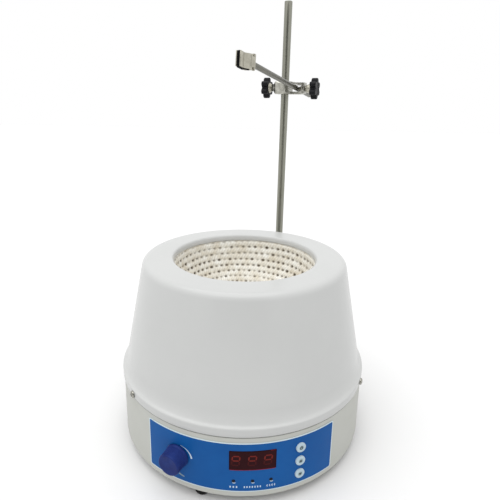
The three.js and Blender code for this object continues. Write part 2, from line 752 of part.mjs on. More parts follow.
function supportRod() {
  const profile = [
    v2(0, ROD_BOTTOM_Z),
    v2(ROD_R, ROD_BOTTOM_Z),
    v2(ROD_R, ROD_TOP_Z - 0.8),
    v2(ROD_R - 0.8, ROD_TOP_Z),
    v2(0, ROD_TOP_Z),
  ];
  const made = piece("support_rod", solid(turned(profile, 28)), STEEL);
  const a = deg(ROD_AZIMUTH);
  made.position.set(ROD_RING_R * Math.sin(a), -ROD_RING_R * Math.cos(a), 0);
  return made;
}

// A six-lobed plastic head about Z, its lobes from low to low + thickness and its flared neck towards the work.
function starKnob(name, low, hub) {
  const star = new THREE.Shape();
  const points = STAR_LOBES * 6;
  for (let i = 0; i < points; i++) {
    const a = (i / points) * 2 * Math.PI;
    const radius = STAR_R - 1.9 + 1.9 * Math.cos(STAR_LOBES * a);
    star[i ? "lineTo" : "moveTo"](radius * Math.cos(a), radius * Math.sin(a));
  }
  const head = solid(softPrism(star, low, low + STAR_THICKNESS, 1.2));
  const neck = solid(turned([v2(0, low - hub), v2(4.4, low - hub), v2(7, low + 1), v2(0, low + 1)], 18));
  const bore = solid(cylinder(STUD_R + GAP, low - hub - 2, low + 5, 14));
  return piece(name, cut(join(head, neck), bore), BLACK_PLASTIC);
}

// A clamping screw with its star head, about Z, with its tip at tip and the head's lobes from low.
function clampScrew(baseName, tip, low, hub = 3) {
  const profile = [v2(0, tip), v2(STUD_R - 0.6, tip), v2(STUD_R, tip + 0.6), v2(STUD_R, low + 4.7), v2(0, low + 4.7)];
  const stud = piece(`${baseName}_stud`, solid(turned(profile, 14)), STEEL);
  const head = starKnob(`${baseName}_knob`, low, hub);
  const group = new THREE.Group();
  group.add(stud, head);
  return group;
}

function rodLock() {
  const screw = clampScrew("rod_lock", ROD_RING_R + ROD_R + GAP, ROD_RING_R + BRACKET.halfWidth + 5);
  screw.applyMatrix4(wallFrame(ROD_AZIMUTH, BRACKET.lockZ));
  return screw;
}

// ---------- boss head, arm and clip ----------
// The boss frame: the rod along Z at the origin, X along the two screws, -Y towards the front.
function bossHead() {
  const outline = new THREE.Shape();
  outline.moveTo(-17.5, -6);
  outline.lineTo(-13, -9);
  outline.quadraticCurveTo(-6, -14, 3, -12);
  outline.lineTo(8, -11);
  outline.lineTo(27, -11);
  outline.lineTo(28, -9.5);
  outline.lineTo(28, 9.5);
  outline.lineTo(27, 11);
  outline.lineTo(6, 11);
  outline.quadraticCurveTo(-6, 14, -13, 9);
  outline.lineTo(-17.5, 6);
  const block = solid(softPrism(outline, -8.5, 7.5, 1.5));
  const rodHole = solid(cylinder(ROD_R + GAP, -20, 20, 24));
  // The slot reaches from near the rod to past the arm, so that the arm can be laid in and pinched.
  const slot = prism(roundedRect(17, 7.6, 2.5), -30, 30)
    .applyMatrix4(armFrame())
    .translate(15.9 - ARM_OFFSET, 0, 0);
  const along = new THREE.Matrix4().makeBasis(
    new THREE.Vector3(0, 1, 0),
    new THREE.Vector3(0, 0, 1),
    new THREE.Vector3(1, 0, 0),
  );
  const rodScrewHole = solid(cylinder(STUD_R + GAP, -20, -3, 14).applyMatrix4(along));
  const armScrewHole = solid(cylinder(STUD_R + GAP, 18, 32, 14).applyMatrix4(along).translate(0, 0, ARM_DROP));
  return piece("boss_head", cut(block, rodHole, solid(slot), rodScrewHole, armScrewHole), NICKEL);
}

// The arm's frame in the boss frame, as a matrix that maps Z onto the arm's run towards the clip.
function armFrame() {
  const rise = deg(ARM_RISE);
  return new THREE.Matrix4()
    .makeBasis(
      new THREE.Vector3(1, 0, 0),
      new THREE.Vector3(0, Math.sin(rise), Math.cos(rise)),
      new THREE.Vector3(0, -Math.cos(rise), Math.sin(rise)),
    )
    .setPosition(ARM_OFFSET, 0, ARM_DROP);
}

// The clip's frame: X along the arm towards the jaw tips, Y to the right, Z up.
function clipFrame() {
  const rise = deg(ARM_RISE);
  return new THREE.Matrix4()
    .makeBasis(
      new THREE.Vector3(0, -Math.cos(rise), Math.sin(rise)),
      new THREE.Vector3(1, 0, 0),
      new THREE.Vector3(0, Math.sin(rise), Math.cos(rise)),
    )
    .multiply(new THREE.Matrix4().makeTranslation(CLIP_START, 0, 0))
    .premultiply(new THREE.Matrix4().makeTranslation(ARM_OFFSET, 0, ARM_DROP));
}

function clampArm() {
  const profile = [
    v2(0, -ARM_BACK),
    v2(ARM_R - 0.5, -ARM_BACK),
    v2(ARM_R, 0.5 - ARM_BACK),
    v2(ARM_R, ARM_FRONT - 0.5),
    v2(ARM_R - 0.5, ARM_FRONT),
    v2(0, ARM_FRONT),
  ];
  const arm = piece("clamp_arm", solid(turned(profile, 20)), STEEL);
  arm.applyMatrix4(armFrame());
  return arm;
}

// Side plates of a small spring clip. The sprung plate's line starts on top of the pin's barrel.
const CLIP = {
  low: -7.7,
  high: 6.3,
  sheet: 1,
  pinX: -3.9,
  pinY: 6.3,
  barrelR: 2,
  earDepth: 2,
  fixedOuter: -4.7,
  tip: 19.4,
  bend: [v2(-0.61, 6.26), v2(6.9, 0.3), v2(16.1, 0.9)],
  barrel: [-5.4, 2.5],
  pad: [-8.9, 6.6],
};

// The jaw that the arm ends in: a hub block, a side plate and two ears for the pin.
function clipFixedJaw() {
  const back = CLIP.pinX - CLIP.barrelR;
  const y = CLIP.fixedOuter;
  const outline = [v2(back, y), v2(CLIP.tip, y), v2(CLIP.tip, y + CLIP.sheet), v2(1, y + CLIP.sheet), v2(1, 2.6)];
  const body = solid(prism([...outline, v2(back, 2.6)], CLIP.low, CLIP.high));
  const ears = [CLIP.low, CLIP.high - CLIP.earDepth].map((z) => {
    const top = z + CLIP.earDepth;
    const eye = cylinder(CLIP.barrelR, z, top, 16).translate(CLIP.pinX, CLIP.pinY, 0);
    return join(solid(eye), solid(box(back, CLIP.pinX + CLIP.barrelR, 2, CLIP.pinY, z, top)));
  });
  const bore = solid(cylinder(ARM_R + GAP, -12, ARM_FRONT - CLIP_START + GAP, 20).rotateY(Math.PI / 2));
  const pinHole = solid(cylinder(1.3, -20, 20, 12).translate(CLIP.pinX, CLIP.pinY, 0));
  return piece("clip_fixed_jaw", cut(join(body, ...ears), bore, pinHole), NICKEL);
}

function clipFixedPad() {
  const y = CLIP.fixedOuter + CLIP.sheet + GAP;
  return piece("clip_fixed_pad", solid(box(3, CLIP.tip - 0.4, y, y + 1.2, ...CLIP.pad)), BLACK_RUBBER);
}

// The sprung jaw: a bent plate whose middle runs back to a barrel on the pin.
function clipMovingJaw() {
  const outer = CLIP.bend;
  const inner = offsetCurve(outer, -CLIP.sheet).reverse();
  const plate = solid(prism([...outer, ...inner], CLIP.low, CLIP.high));
  const webOutline = [v2(-2.65, 7.87), v2(-0.3, 6.01), v2(-0.92, 5.23), v2(-3.27, 7.09)];
  const web = solid(prism(webOutline, ...CLIP.barrel));
  const barrel = solid(cylinder(CLIP.barrelR, ...CLIP.barrel, 16).translate(CLIP.pinX, CLIP.pinY, 0));
  const hole = solid(cylinder(1.35, -20, 20, 12).translate(CLIP.pinX, CLIP.pinY, 0));
  return piece("clip_moving_jaw", cut(join(plate, web, barrel), hole), NICKEL);
}

function clipMovingPad() {
  const near = offsetCurve(CLIP.bend, -CLIP.sheet - GAP);
  const far = offsetCurve(CLIP.bend, -CLIP.sheet - GAP - 0.9);
  near[0].lerp(near[1], 0.5);
  far[0].lerp(far[1], 0.5);
  return piece("clip_moving_pad", solid(prism([...near, ...far.reverse()], ...CLIP.pad)), BLACK_RUBBER);
}

function clipPinAndSpring() {
  const pin = piece("clip_pin", solid(cylinder(1, CLIP.low - 0.8, CLIP.high + 0.8, 12)), STEEL);
  const ring = [v2(1.3, 2.8), v2(2.0, 2.8), v2(2.0, 4.0), v2(1.3, 4.0), v2(1.3, 2.8)];
  const spring = piece("clip_spring", solid(turned(ring, 12)), STEEL);
  for (const made of [pin, spring]) made.position.set(CLIP.pinX, CLIP.pinY, 0);
  return [pin, spring];
}

function bossGroup() {
  const group = new THREE.Group();
  const towardsRight = new THREE.Matrix4().makeBasis(
    new THREE.Vector3(0, 1, 0),
    new THREE.Vector3(0, 0, 1),
    new THREE.Vector3(1, 0, 0),
  );
  const towardsLeft = new THREE.Matrix4().makeBasis(
    new THREE.Vector3(0, -1, 0),
    new THREE.Vector3(0, 0, 1),
    new THREE.Vector3(-1, 0, 0),
  );
  const rodScrew = clampScrew("rod_clamp", ROD_R + GAP, 21.8);
  rodScrew.applyMatrix4(towardsLeft);
  const armScrew = clampScrew("arm_clamp", ARM_OFFSET + ARM_R + GAP, 36.4, 7);
  armScrew.applyMatrix4(towardsRight);
  armScrew.position.z = ARM_DROP;

  const clip = new THREE.Group();
  clip.add(clipFixedJaw(), clipFixedPad(), clipMovingJaw(), clipMovingPad(), ...clipPinAndSpring());
  clip.applyMatrix4(clipFrame());

  group.add(bossHead(), rodScrew, armScrew, clampArm(), clip);
  const a = deg(ROD_AZIMUTH);
  group.position.set(ROD_RING_R * Math.sin(a), -ROD_RING_R * Math.cos(a), BOSS_Z);
  group.rotation.z = deg(BOSS_TURN);
  return group;
}

// ---------- the whole mantle ----------
const mantle = new THREE.Group();
mantle.add(
  baseShell(),
  bottomPlate(),
  ...FOOT_AZIMUTHS.map((_, i) => rubberFoot(i)),
  upperShell(),
  ...SHELL_SCREW_AZIMUTHS.map((_, i) => shellScrew(i)),
  controlPanel(),
  displayWindow(),
  displayModule(),
  displayBoard(),
  ...Object.entries(BUTTONS).map(([name, z]) => button(name, z)),
  ...Object.entries(LAMPS).map(([name, azimuth]) => lamp(name, azimuth)),
  stirKnob(),
  ...potentiometer(),
  heatingBowl(),
  heatingCoil(),
  insulation(),
  innerCup(),
  cupStand(),
  stirMotor(),
  motorBracket(),
  ...magnetDrive(),
  powerBoard(),
  transformer(),
  triacHeatsink(),
  rearPanel(),
  rodBracket(),
  ...BRACKET.screwZs.map((_, i) => bracketScrew(i)),
  supportRod(),
  rodLock(),
  bossGroup(),
);

const connections = new THREE.Group();
connections.add(powerInlet(), ...powerSwitch(), ...fuseParts(), sensorSocket());
connections.applyMatrix4(rearFrame());
mantle.add(connections);

// The part's origin is on the bench, under the middle of its footprint.
const bounds = new THREE.Box3().setFromObject(mantle);
const middle = bounds.getCenter(new THREE.Vector3());
mantle.position.set(-middle.x, -middle.y, FOOT_HEIGHT);

const root = new THREE.Group();
root.add(mantle);

export default root;
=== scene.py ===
"""Looks for the stirring heating mantle with its rod, boss head and clip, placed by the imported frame."""

import json
from math import atan2, cos, degrees, hypot, pi, radians, sin, sqrt

import bmesh
import bpy
import numpy as np
from mathutils import Matrix, Vector


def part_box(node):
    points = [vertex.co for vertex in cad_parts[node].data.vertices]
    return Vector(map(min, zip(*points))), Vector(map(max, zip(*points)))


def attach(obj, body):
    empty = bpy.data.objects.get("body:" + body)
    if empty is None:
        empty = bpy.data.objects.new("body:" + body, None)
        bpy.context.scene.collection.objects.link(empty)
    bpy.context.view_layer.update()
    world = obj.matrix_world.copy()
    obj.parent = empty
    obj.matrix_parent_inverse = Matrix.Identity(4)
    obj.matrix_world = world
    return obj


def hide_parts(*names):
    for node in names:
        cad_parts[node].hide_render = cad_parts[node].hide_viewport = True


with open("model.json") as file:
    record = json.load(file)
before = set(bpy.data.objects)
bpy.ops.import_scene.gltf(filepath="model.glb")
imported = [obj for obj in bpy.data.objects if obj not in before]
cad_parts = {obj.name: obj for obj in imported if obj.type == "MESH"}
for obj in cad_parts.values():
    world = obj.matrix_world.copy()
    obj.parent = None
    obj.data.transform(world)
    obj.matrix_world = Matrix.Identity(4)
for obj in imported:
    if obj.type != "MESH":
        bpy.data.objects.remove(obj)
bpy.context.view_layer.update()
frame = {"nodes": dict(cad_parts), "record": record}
NODES = frame["nodes"]
JOINTS = {j["name"]: j for j in frame["record"]["behaviour"]["joints"]}
MM = 0.001

# ---------- frames, all from the record and the nodes' boxes ----------
shell_low, shell_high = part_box("upper_shell")
CENTRE = (shell_low + shell_high) / 2
BASE_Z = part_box("base_shell")[0].z
rod_low, rod_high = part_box("support_rod")
ROD = (rod_low + rod_high) / 2


def basis(x, y, z, origin):
    m = Matrix((Vector(x), Vector(y), Vector(z))).transposed().to_4x4()
    m.translation = Vector(origin)
    return m


BASE = Matrix.Translation((CENTRE.x, CENTRE.y, BASE_Z))


def wall(azimuth, z):
    """X to the right along the wall, Y up, Z straight out. z is in mm from the base's lower edge."""
    a = radians(azimuth)
    origin = (CENTRE.x, CENTRE.y, BASE_Z + z * MM)
    return basis((cos(a), sin(a), 0), (0, 0, 1), (sin(a), -cos(a), 0), origin)


REAR_X = Vector(JOINTS["power_rocker_tilt"]["axis"])
REAR_Z = Vector(JOINTS["fuse_cap_turn"]["axis"])
FUSE_X = 23.5
REAR = basis(REAR_X, (0, 0, 1), REAR_Z, Vector(JOINTS["fuse_cap_turn"]["pos_m"]) - REAR_X * FUSE_X * MM)

BOSS_X = Vector(JOINTS["arm_clamp_turn"]["axis"])
BOSS_Y = Vector((0, 0, 1)).cross(BOSS_X)
BOSS_Z = JOINTS["rod_clamp_turn"]["pos_m"][2]
BOSS = basis(BOSS_X, BOSS_Y, (0, 0, 1), (ROD.x, ROD.y, BOSS_Z))

ARM_AXIS = Vector(JOINTS["arm_slide"]["axis"]).normalized()
CLIP_UP = Vector(JOINTS["sprung_jaw_open"]["axis"]).normalized()
CLIP_Y = CLIP_UP.cross(ARM_AXIS)
PIN_X, PIN_Y = -3.9, 6.3
PIN = Vector(JOINTS["sprung_jaw_open"]["pos_m"])
CLIP_ORIGIN = PIN - ARM_AXIS * PIN_X * MM - CLIP_Y * PIN_Y * MM
CLIP = basis(ARM_AXIS, CLIP_Y, CLIP_UP, CLIP_ORIGIN)
CLIP_START = 166
ARM = basis(CLIP_Y, CLIP_UP, ARM_AXIS, CLIP_ORIGIN - ARM_AXIS * CLIP_START * MM)

TURN_X = Matrix(((0, 0, 1, 0), (1, 0, 0, 0), (0, 1, 0, 0), (0, 0, 0, 1)))  # takes a prism's Z to X


# ---------- camera, floor and light ----------
SENSOR_WIDTH, FOCAL_LENGTH = 36, 31.09
CAMERA_YAW, CAMERA_PITCH, CAMERA_ROLL = -0.0123, 0.3127, 0.020
CAMERA_AWAY, CAMERA_UP = 0.4573, 0.3502
SUN_ENERGY, SUN_ANGLE = 1.95, radians(70)
SUN_TURN = (radians(8), radians(-10), 0)
FLOOR_SIDE, FLOOR_DROP, FLOOR_GREY = 8.0, 0.0002, (0.68, 0.68, 0.68)
SCREEN_LEFT, SCREEN_RIGHT, SCREEN_HEIGHT, SCREEN_AWAY, SCREEN_LIFT = -0.75, 0.62, 1.5, 1.3, 0.02
SCREEN_GREY = (0.09, 0.09, 0.075)
STAGE_ROUGHNESS = 0.9


def make_camera():
    """At the height and distance of someone standing in front of the mantle, a little turned and tipped."""
    data = bpy.data.cameras.new("camera")
    camera = bpy.data.objects.new("camera", data)
    bpy.context.scene.collection.objects.link(camera)
    data.sensor_width = SENSOR_WIDTH
    data.lens = FOCAL_LENGTH
    data.clip_start = 0.01
    data.clip_end = 20
    yaw, pitch, roll = CAMERA_YAW, CAMERA_PITCH, CAMERA_ROLL
    forward = Vector((-sin(yaw) * cos(pitch), cos(yaw) * cos(pitch), -sin(pitch)))
    right = Vector((cos(yaw), sin(yaw), 0))
    up = right.cross(forward)
    x = cos(roll) * right + sin(roll) * up
    y = -sin(roll) * right + cos(roll) * up
    camera.matrix_world = basis(x, y, -forward, (CENTRE.x, CENTRE.y - CAMERA_AWAY, BASE_Z + CAMERA_UP))
    bpy.context.scene.camera = camera


def set_inputs(node, **values):
    """Sets inputs of a node. An underscore stands for the space in an input's name."""
    for name, value in values.items():
        node.inputs[name.replace("_", " ")].default_value = value


def plain_mesh(name, corners, colour):
    mesh = bpy.data.meshes.new(name)
    mesh.from_pydata(corners, [], [(0, 1, 2, 3)])
    obj = bpy.data.objects.new(name, mesh)
    bpy.context.scene.collection.objects.link(obj)
    paint = bpy.data.materials.new(name)
    paint.use_nodes = True
    shader = paint.node_tree.nodes["Principled BSDF"]
    set_inputs(shader, Base_Color=(*colour, 1), Roughness=STAGE_ROUGHNESS, Specular_IOR_Level=0.0)
    mesh.materials.append(paint)
    return obj


def make_stage():
    """A white room with a ceiling light and a pale floor. Metal reflects a dark screen behind the camera."""
    scene = bpy.context.scene
    scene.view_settings.view_transform = "Standard"
    scene.view_settings.look = "None"
    world = bpy.data.worlds.new("studio")
    scene.world = world
    world.use_nodes = True
    set_inputs(world.node_tree.nodes["Background"], Color=(1.0, 1.0, 1.0, 1), Strength=1.0)
    data = bpy.data.lights.new("ceiling", "SUN")
    data.energy = SUN_ENERGY
    data.angle = SUN_ANGLE
    lamp = bpy.data.objects.new("ceiling", data)
    scene.collection.objects.link(lamp)
    lamp.rotation_euler = SUN_TURN
    side = FLOOR_SIDE
    floor = plain_mesh("floor", [(-side, -side, 0), (side, -side, 0), (side, side, 0), (-side, side, 0)], FLOOR_GREY)
    floor.location.z = -FLOOR_DROP
    left, right, top = SCREEN_LEFT, SCREEN_RIGHT, SCREEN_HEIGHT
    screen = plain_mesh("screen", [(left, 0, 0), (right, 0, 0), (right, 0, top), (left, 0, top)], SCREEN_GREY)
    screen.location = (CENTRE.x, CENTRE.y - SCREEN_AWAY, SCREEN_LIFT)
    screen.visible_camera = False
    screen.visible_diffuse = False
    screen.visible_shadow = False


# ---------- materials ----------
def linear(r, g, b):
    """An 8-bit screen colour as scene-linear RGBA."""
    def one(c):
        c /= 255
        return c / 12.92 if c <= 0.04045 else ((c + 0.055) / 1.055) ** 2.4

    return (one(r), one(g), one(b), 1.0)


def surface(
    name, low, high, rough=(0.35, 0.45), metal=0.0, patch=40.0, stretch=(1, 1, 1),
    grain=900.0, relief=0.00002, specular=0.5, sheen=0.0,
):
    """A procedural finish: patchy colour between low and high, patchy gloss, and a fine relief."""
    m = bpy.data.materials.new(name)
    m.use_nodes = True
    tree = m.node_tree
    link = tree.links.new

    def new(kind, **values):
        node = tree.nodes.new("ShaderNode" + kind)
        set_inputs(node, **values)
        return node

    shader = tree.nodes["Principled BSDF"]
    set_inputs(shader, Metallic=metal, Specular_IOR_Level=specular, Sheen_Weight=sheen)
    place = new("TexCoord")
    mapping = new("Mapping", Scale=stretch)
    link(place.outputs["Object"], mapping.inputs["Vector"])
    patches = new("TexNoise", Scale=patch, Detail=5, Roughness=0.6)
    link(mapping.outputs["Vector"], patches.inputs["Vector"])
    ramp = new("ValToRGB")
    for stop, position, colour in zip(ramp.color_ramp.elements, (0.35, 0.65), (low, high)):
        stop.position = position
        stop.color = linear(*colour)
    link(patches.outputs["Fac"], ramp.inputs["Fac"])
    link(ramp.outputs["Color"], shader.inputs["Base Color"])
    gloss = new("MapRange", From_Min=0.3, From_Max=0.7, To_Min=rough[0], To_Max=rough[1])
    link(patches.outputs["Fac"], gloss.inputs["Value"])
    link(gloss.outputs["Result"], shader.inputs["Roughness"])
    fine = new("TexNoise", Scale=grain, Detail=2)
    link(mapping.outputs["Vector"], fine.inputs["Vector"])
    bump = new("Bump", Strength=1.0, Distance=relief)
    link(fine.outputs["Fac"], bump.inputs["Height"])
    link(bump.outputs["Normal"], shader.inputs["Normal"])
    return m


def fibre(name):
    """Woven glass fibre yarn: painted shade, stored on the mesh as an attribute, darkens the holes and the gaps
    between the cords.
    """
    m = surface(
        name, (211, 204, 189), (233, 232, 226),
        rough=(0.75, 0.95), patch=75, grain=2500, relief=0.00012, sheen=0.15, specular=0.3,
    )
    tree = m.node_tree
    new, link = tree.nodes.new, tree.links.new
    shader = tree.nodes["Principled BSDF"]
    base = shader.inputs["Base Color"].links[0].from_socket
    depth = new("ShaderNodeAttribute")
    depth.attribute_name = "painted_gap_shade"
    shade = new("ShaderNodeMix")
    shade.data_type = "RGBA"
    shade.blend_type = "MIX"
    # The colour of the painted shade in the holes and between the cords.
    shade.inputs["B"].default_value = linear(96, 86, 70)
    link(depth.outputs["Fac"], shade.inputs["Factor"])
    link(base, shade.inputs["A"])
    link(shade.outputs["Result"], shader.inputs["Base Color"])
    return m


PRINT = dict(rough=(0.5, 0.6), patch=300, relief=0.000004, specular=0.1)
FIGURE = dict(rough=(0.6, 0.7), patch=90, relief=0.0, specular=0.02)
# Each finish: its Blender name, the darker and the lighter colour, and what differs from a plain surface.
FINISHES = {
    "shell": (
        "shell_paint", (180, 181, 180), (182, 183, 182),
        dict(rough=(0.2, 0.26), patch=14, grain=1400, relief=0.000008, specular=0.26),
    ),
    "base": (
        "base_paint", (174, 175, 169), (178, 179, 174),
        dict(rough=(0.4, 0.5), patch=18, grain=1600, relief=0.000012, specular=0.08),
    ),
    "film_edge": (
        "film_edge", (190, 204, 208), (198, 211, 214),
        dict(rough=(0.45, 0.55), patch=60, relief=0.00001, specular=0.1),
    ),
    "panel": (
        "panel_blue", (8, 73, 136), (14, 80, 144),
        dict(rough=(0.45, 0.55), patch=22, grain=3500, relief=0.00001, specular=0.12),
    ),
    "ink": ("print_white", (176, 192, 208), (192, 206, 218), PRINT),
    "ink_dark": ("print_dark", (44, 52, 56), (62, 70, 72), PRINT),
    "ink_grey": ("print_grey", (118, 136, 142), (132, 150, 154), PRINT),
    "knob": (
        "knob_blue", (18, 32, 88), (27, 46, 106),
        dict(rough=(0.42, 0.52), patch=90, grain=2500, relief=0.00002, specular=0.12),
    ),
    "button": (
        "button_white", (164, 182, 191), (174, 191, 199),
        dict(rough=(0.4, 0.48), patch=200, grain=3000, relief=0.000006, specular=0.15),
    ),
    "window": (
        "window_red", (43, 20, 23), (48, 22, 26),
        dict(rough=(0.4, 0.46), patch=30, relief=0.0, specular=0.02),
    ),
    # Painted glow: the red light in the window's edges, as a bright colour.
    "window_edge": (
        "window_edge", (96, 20, 32), (116, 26, 40),
        dict(rough=(0.4, 0.5), patch=200, relief=0.000004, specular=0.1),
    ),
    "display": (
        "display_black", (36, 18, 20), (42, 20, 22),
        dict(rough=(0.7, 0.8), patch=40, relief=0.0, specular=0.01),
    ),
    "segment": ("segment_off", (100, 38, 34), (108, 42, 38), FIGURE),
    "segment_dim": ("segment_dim", (62, 26, 27), (67, 28, 29), FIGURE),
    "lens": (
        "lamp_lens", (14, 18, 28), (22, 28, 38),
        dict(rough=(0.3, 0.4), patch=300, relief=0.000002, specular=0.12),
    ),
    "lamp_dark": ("lamp_ring", (18, 26, 40), (26, 36, 52), PRINT),
    "rubber": (
        "rubber_black", (12, 12, 12), (20, 20, 19),
        dict(rough=(0.7, 0.85), patch=220, grain=2600, relief=0.00004, specular=0.2),
    ),
    "plastic": (
        "plastic_black", (13, 14, 17), (21, 22, 26),
        dict(rough=(0.42, 0.56), patch=180, grain=2200, relief=0.00003, specular=0.16),
    ),
    "steel": (
        "steel_bright", (136, 135, 128), (164, 162, 154),
        dict(rough=(0.2, 0.32), metal=1.0, patch=260, grain=2500, relief=0.00001),
    ),
    "rod": (
        "rod_steel", (132, 132, 121), (150, 150, 140),
        dict(rough=(0.3, 0.38), metal=1.0, patch=60, stretch=(6, 6, 0.25), grain=900, relief=0.000006),
    ),
    "arm": (
        "arm_steel", (88, 87, 79), (108, 107, 98),
        dict(rough=(0.26, 0.38), metal=1.0, patch=60, stretch=(6, 6, 0.3), grain=900, relief=0.00001),
    ),
    "cast": (
        "cast_nickel", (158, 157, 148), (196, 195, 186),
        dict(rough=(0.24, 0.4), metal=1.0, patch=170, grain=700, relief=0.00005),
    ),
    "nickel": (
        "nickel_plate", (168, 165, 152), (188, 185, 172),
        dict(rough=(0.32, 0.44), metal=1.0, patch=150, grain=1800, relief=0.00002),
    ),
    "aluminium": (
        "aluminium", (164, 165, 167), (180, 181, 183),
        dict(rough=(0.36, 0.46), metal=1.0, patch=90, stretch=(1, 1, 8), grain=900, relief=0.00002),
    ),
    "wool": (
        "mineral_wool", (196, 188, 168), (218, 212, 196),
        dict(rough=(0.9, 1.0), patch=220, grain=900, relief=0.0006, sheen=0.3),
    ),
    "board": (
        "circuit_board", (24, 92, 52), (36, 116, 66),
        dict(rough=(0.35, 0.5), patch=340, grain=1500, relief=0.00003),
    ),
    "iron": (
        "laminated_iron", (70, 68, 66), (98, 94, 90),
        dict(rough=(0.4, 0.55), metal=0.8, patch=120, stretch=(1, 1, 14), grain=900, relief=0.00004),
    ),
    "magnet": (
        "magnet_plating", (150, 151, 154), (172, 173, 176),
        dict(rough=(0.2, 0.3), metal=1.0, patch=130, grain=1600, relief=0.00001),
    ),
}
MATERIALS = {key: surface(*colours, **more) for key, (*colours, more) in FINISHES.items()}
MATERIALS["fibre"] = fibre("woven_fibre")


# ---------- mesh making ----------
def add_object(name, part, matrix, material, body, smooth=35.0, node=None):
    """A closed piece whose faces point out. The part is in millimetres in the frame that matrix gives."""
    verts, faces = part
    mesh = bpy.data.meshes.new(name)
    mesh.from_pydata([tuple(float(c) * MM for c in v) for v in verts], [], faces)
    mesh.validate()
    mesh.materials.append(MATERIALS[material])
    obj = bpy.data.objects.new(name, mesh)
    bpy.context.scene.collection.objects.link(obj)
    obj.matrix_world = matrix
    soften(obj, smooth)
    outward(obj)
    if body:
        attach(obj, body)
    if node:
        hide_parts(node)
    return obj


def soften(obj, angle):
    mesh = obj.data
    mesh.shade_smooth()
    mesh.set_sharp_from_angle(angle=radians(angle))


def lathe(profile, steps=96):
    """Vertices and faces of a shape turned about Z. Profile points are (radius, height)."""
    closed = tuple(profile[0]) == tuple(profile[-1])
    points = profile[:-1] if closed else profile
    verts, rings = [], []
    for radius, height in points:
        if radius < 1e-6:
            rings.append([len(verts)] * steps)
            verts.append((0, 0, height))
            continue
        rings.append(list(range(len(verts), len(verts) + steps)))
        for i in range(steps):
            a = 2 * pi * i / steps
            verts.append((radius * cos(a), radius * sin(a), height))
    faces = []
    pairs = list(zip(rings, rings[1:])) + ([(rings[-1], rings[0])] if closed else [])
    for lower, upper in pairs:
        for i in range(steps):
            j = (i + 1) % steps
            corners = []
            for c in (lower[i], lower[j], upper[j], upper[i]):
                if c not in corners:
                    corners.append(c)
            if len(corners) > 2:
                faces.append(tuple(corners))
    return verts, faces


def prism(outline, low, high):
    n = len(outline)
    verts = [(x, y, low) for x, y in outline] + [(x, y, high) for x, y in outline]
    faces = [tuple(reversed(range(n))), tuple(range(n, 2 * n))]
    faces += [(i, (i + 1) % n, n + (i + 1) % n, n + i) for i in range(n)]
    return verts, faces


def ring_faces(rows, around):
    """Faces through rows of points that each go once round, with a flat face at both ends."""
    faces = []
    for k in range(rows - 1):
        for i in range(around):
            j = (i + 1) % around
            faces.append((k * around + i, k * around + j, (k + 1) * around + j, (k + 1) * around + i))
    faces.append(tuple(reversed(range(around))))
    faces.append(tuple((rows - 1) * around + i for i in range(around)))
    return faces


def box(x0, x1, y0, y1, z0, z1):
    return prism([(x0, y0), (x1, y0), (x1, y1), (x0, y1)], z0, z1)


def circle(x, y, radius, steps=24, start=0.0, end=360.0):
    angles = np.radians(np.linspace(start, end, steps, endpoint=end - start < 359))
    return [(x + radius * cos(a), y + radius * sin(a)) for a in angles]


def rounded(width, height, radius, steps=6):
    x, y = width / 2 - radius, height / 2 - radius
    corners = [(x, y, 0), (-x, y, 90), (-x, -y, 180), (x, -y, 270)]
    return [p for cx, cy, start in corners for p in circle(cx, cy, radius, steps, start, start + 90)]


def together(*parts):
    verts, faces = [], []
    for part_verts, part_faces in parts:
        base = len(verts)
        verts += list(part_verts)
        faces += [tuple(base + i for i in f) for f in part_faces]
    return verts, faces


def shifted(part, x=0.0, y=0.0, z=0.0):
    return [(a + x, b + y, c + z) for a, b, c in part[0]], part[1]


def turned_to(part, matrix):
    """A part in millimetres through a matrix whose translation is also in millimetres."""
    return [tuple(matrix @ Vector(v)) for v in part[0]], part[1]


def outward(obj):
    """Makes the faces of a closed mesh point out."""
    work = bmesh.new()
    work.from_mesh(obj.data)
    bmesh.ops.recalc_face_normals(work, faces=work.faces)
    work.to_mesh(obj.data)
    work.free()


def bevel(obj, width, segments=3, angle=35.0):
    mod = obj.modifiers.new("edges", "BEVEL")
    mod.width = width * MM
    mod.segments = segments
    mod.limit_method = "ANGLE"
    mod.angle_limit = radians(angle)
    settle(obj, angle)


def settle(obj, angle=35.0):
    """The modifiers' result becomes the mesh."""
    graph = bpy.context.evaluated_depsgraph_get()
    made = bpy.data.meshes.new_from_object(obj.evaluated_get(graph), depsgraph=graph)
    obj.modifiers.clear()
    obj.data = made
    soften(obj, angle)


def carve(obj, *cutters, operation="DIFFERENCE"):
    """obj without the cutters, which are parts in millimetres in obj's own frame."""
    for part in cutters:
        tool = add_object(obj.name + "_cutter", part, obj.matrix_world.copy(), "steel", None)
        mod = obj.modifiers.new("cut", "BOOLEAN")
        mod.operation = operation
        mod.solver = "EXACT"
        mod.object = tool
        settle(obj)
        bpy.data.objects.remove(tool)


def bezier(p0, p1, p2, steps):
    """A quadratic curve from p0 to p2, without p0."""
    made = []
    for i in range(1, steps + 1):
        t = i / steps
        made.append(tuple((1 - t) ** 2 * a + 2 * t * (1 - t) * b + t * t * c for a, b, c in zip(p0, p1, p2)))
    return made


def sideways(points, distance):
    """The same run of points, moved to the left of its direction."""
    moved = []
    for i, (x, y) in enumerate(points):
        a = points[max(i - 1, 0)]
        b = points[min(i + 1, len(points) - 1)]
        dx, dy = b[0] - a[0], b[1] - a[1]
        size = hypot(dx, dy)
        moved.append((x - dy / size * distance, y + dx / size * distance))
    return moved


# ---------- base and upper shell ----------
BASE_TOP_R, BASE_BOTTOM_R, BASE_TOP_Z = 137.6, 139.0, 74.6
REAR_AZIMUTH, REAR_REACH = 200, 21.7


def base_wall_r(z):
    return BASE_TOP_R + (BASE_BOTTOM_R - BASE_TOP_R) * (BASE_TOP_Z - z) / BASE_TOP_Z


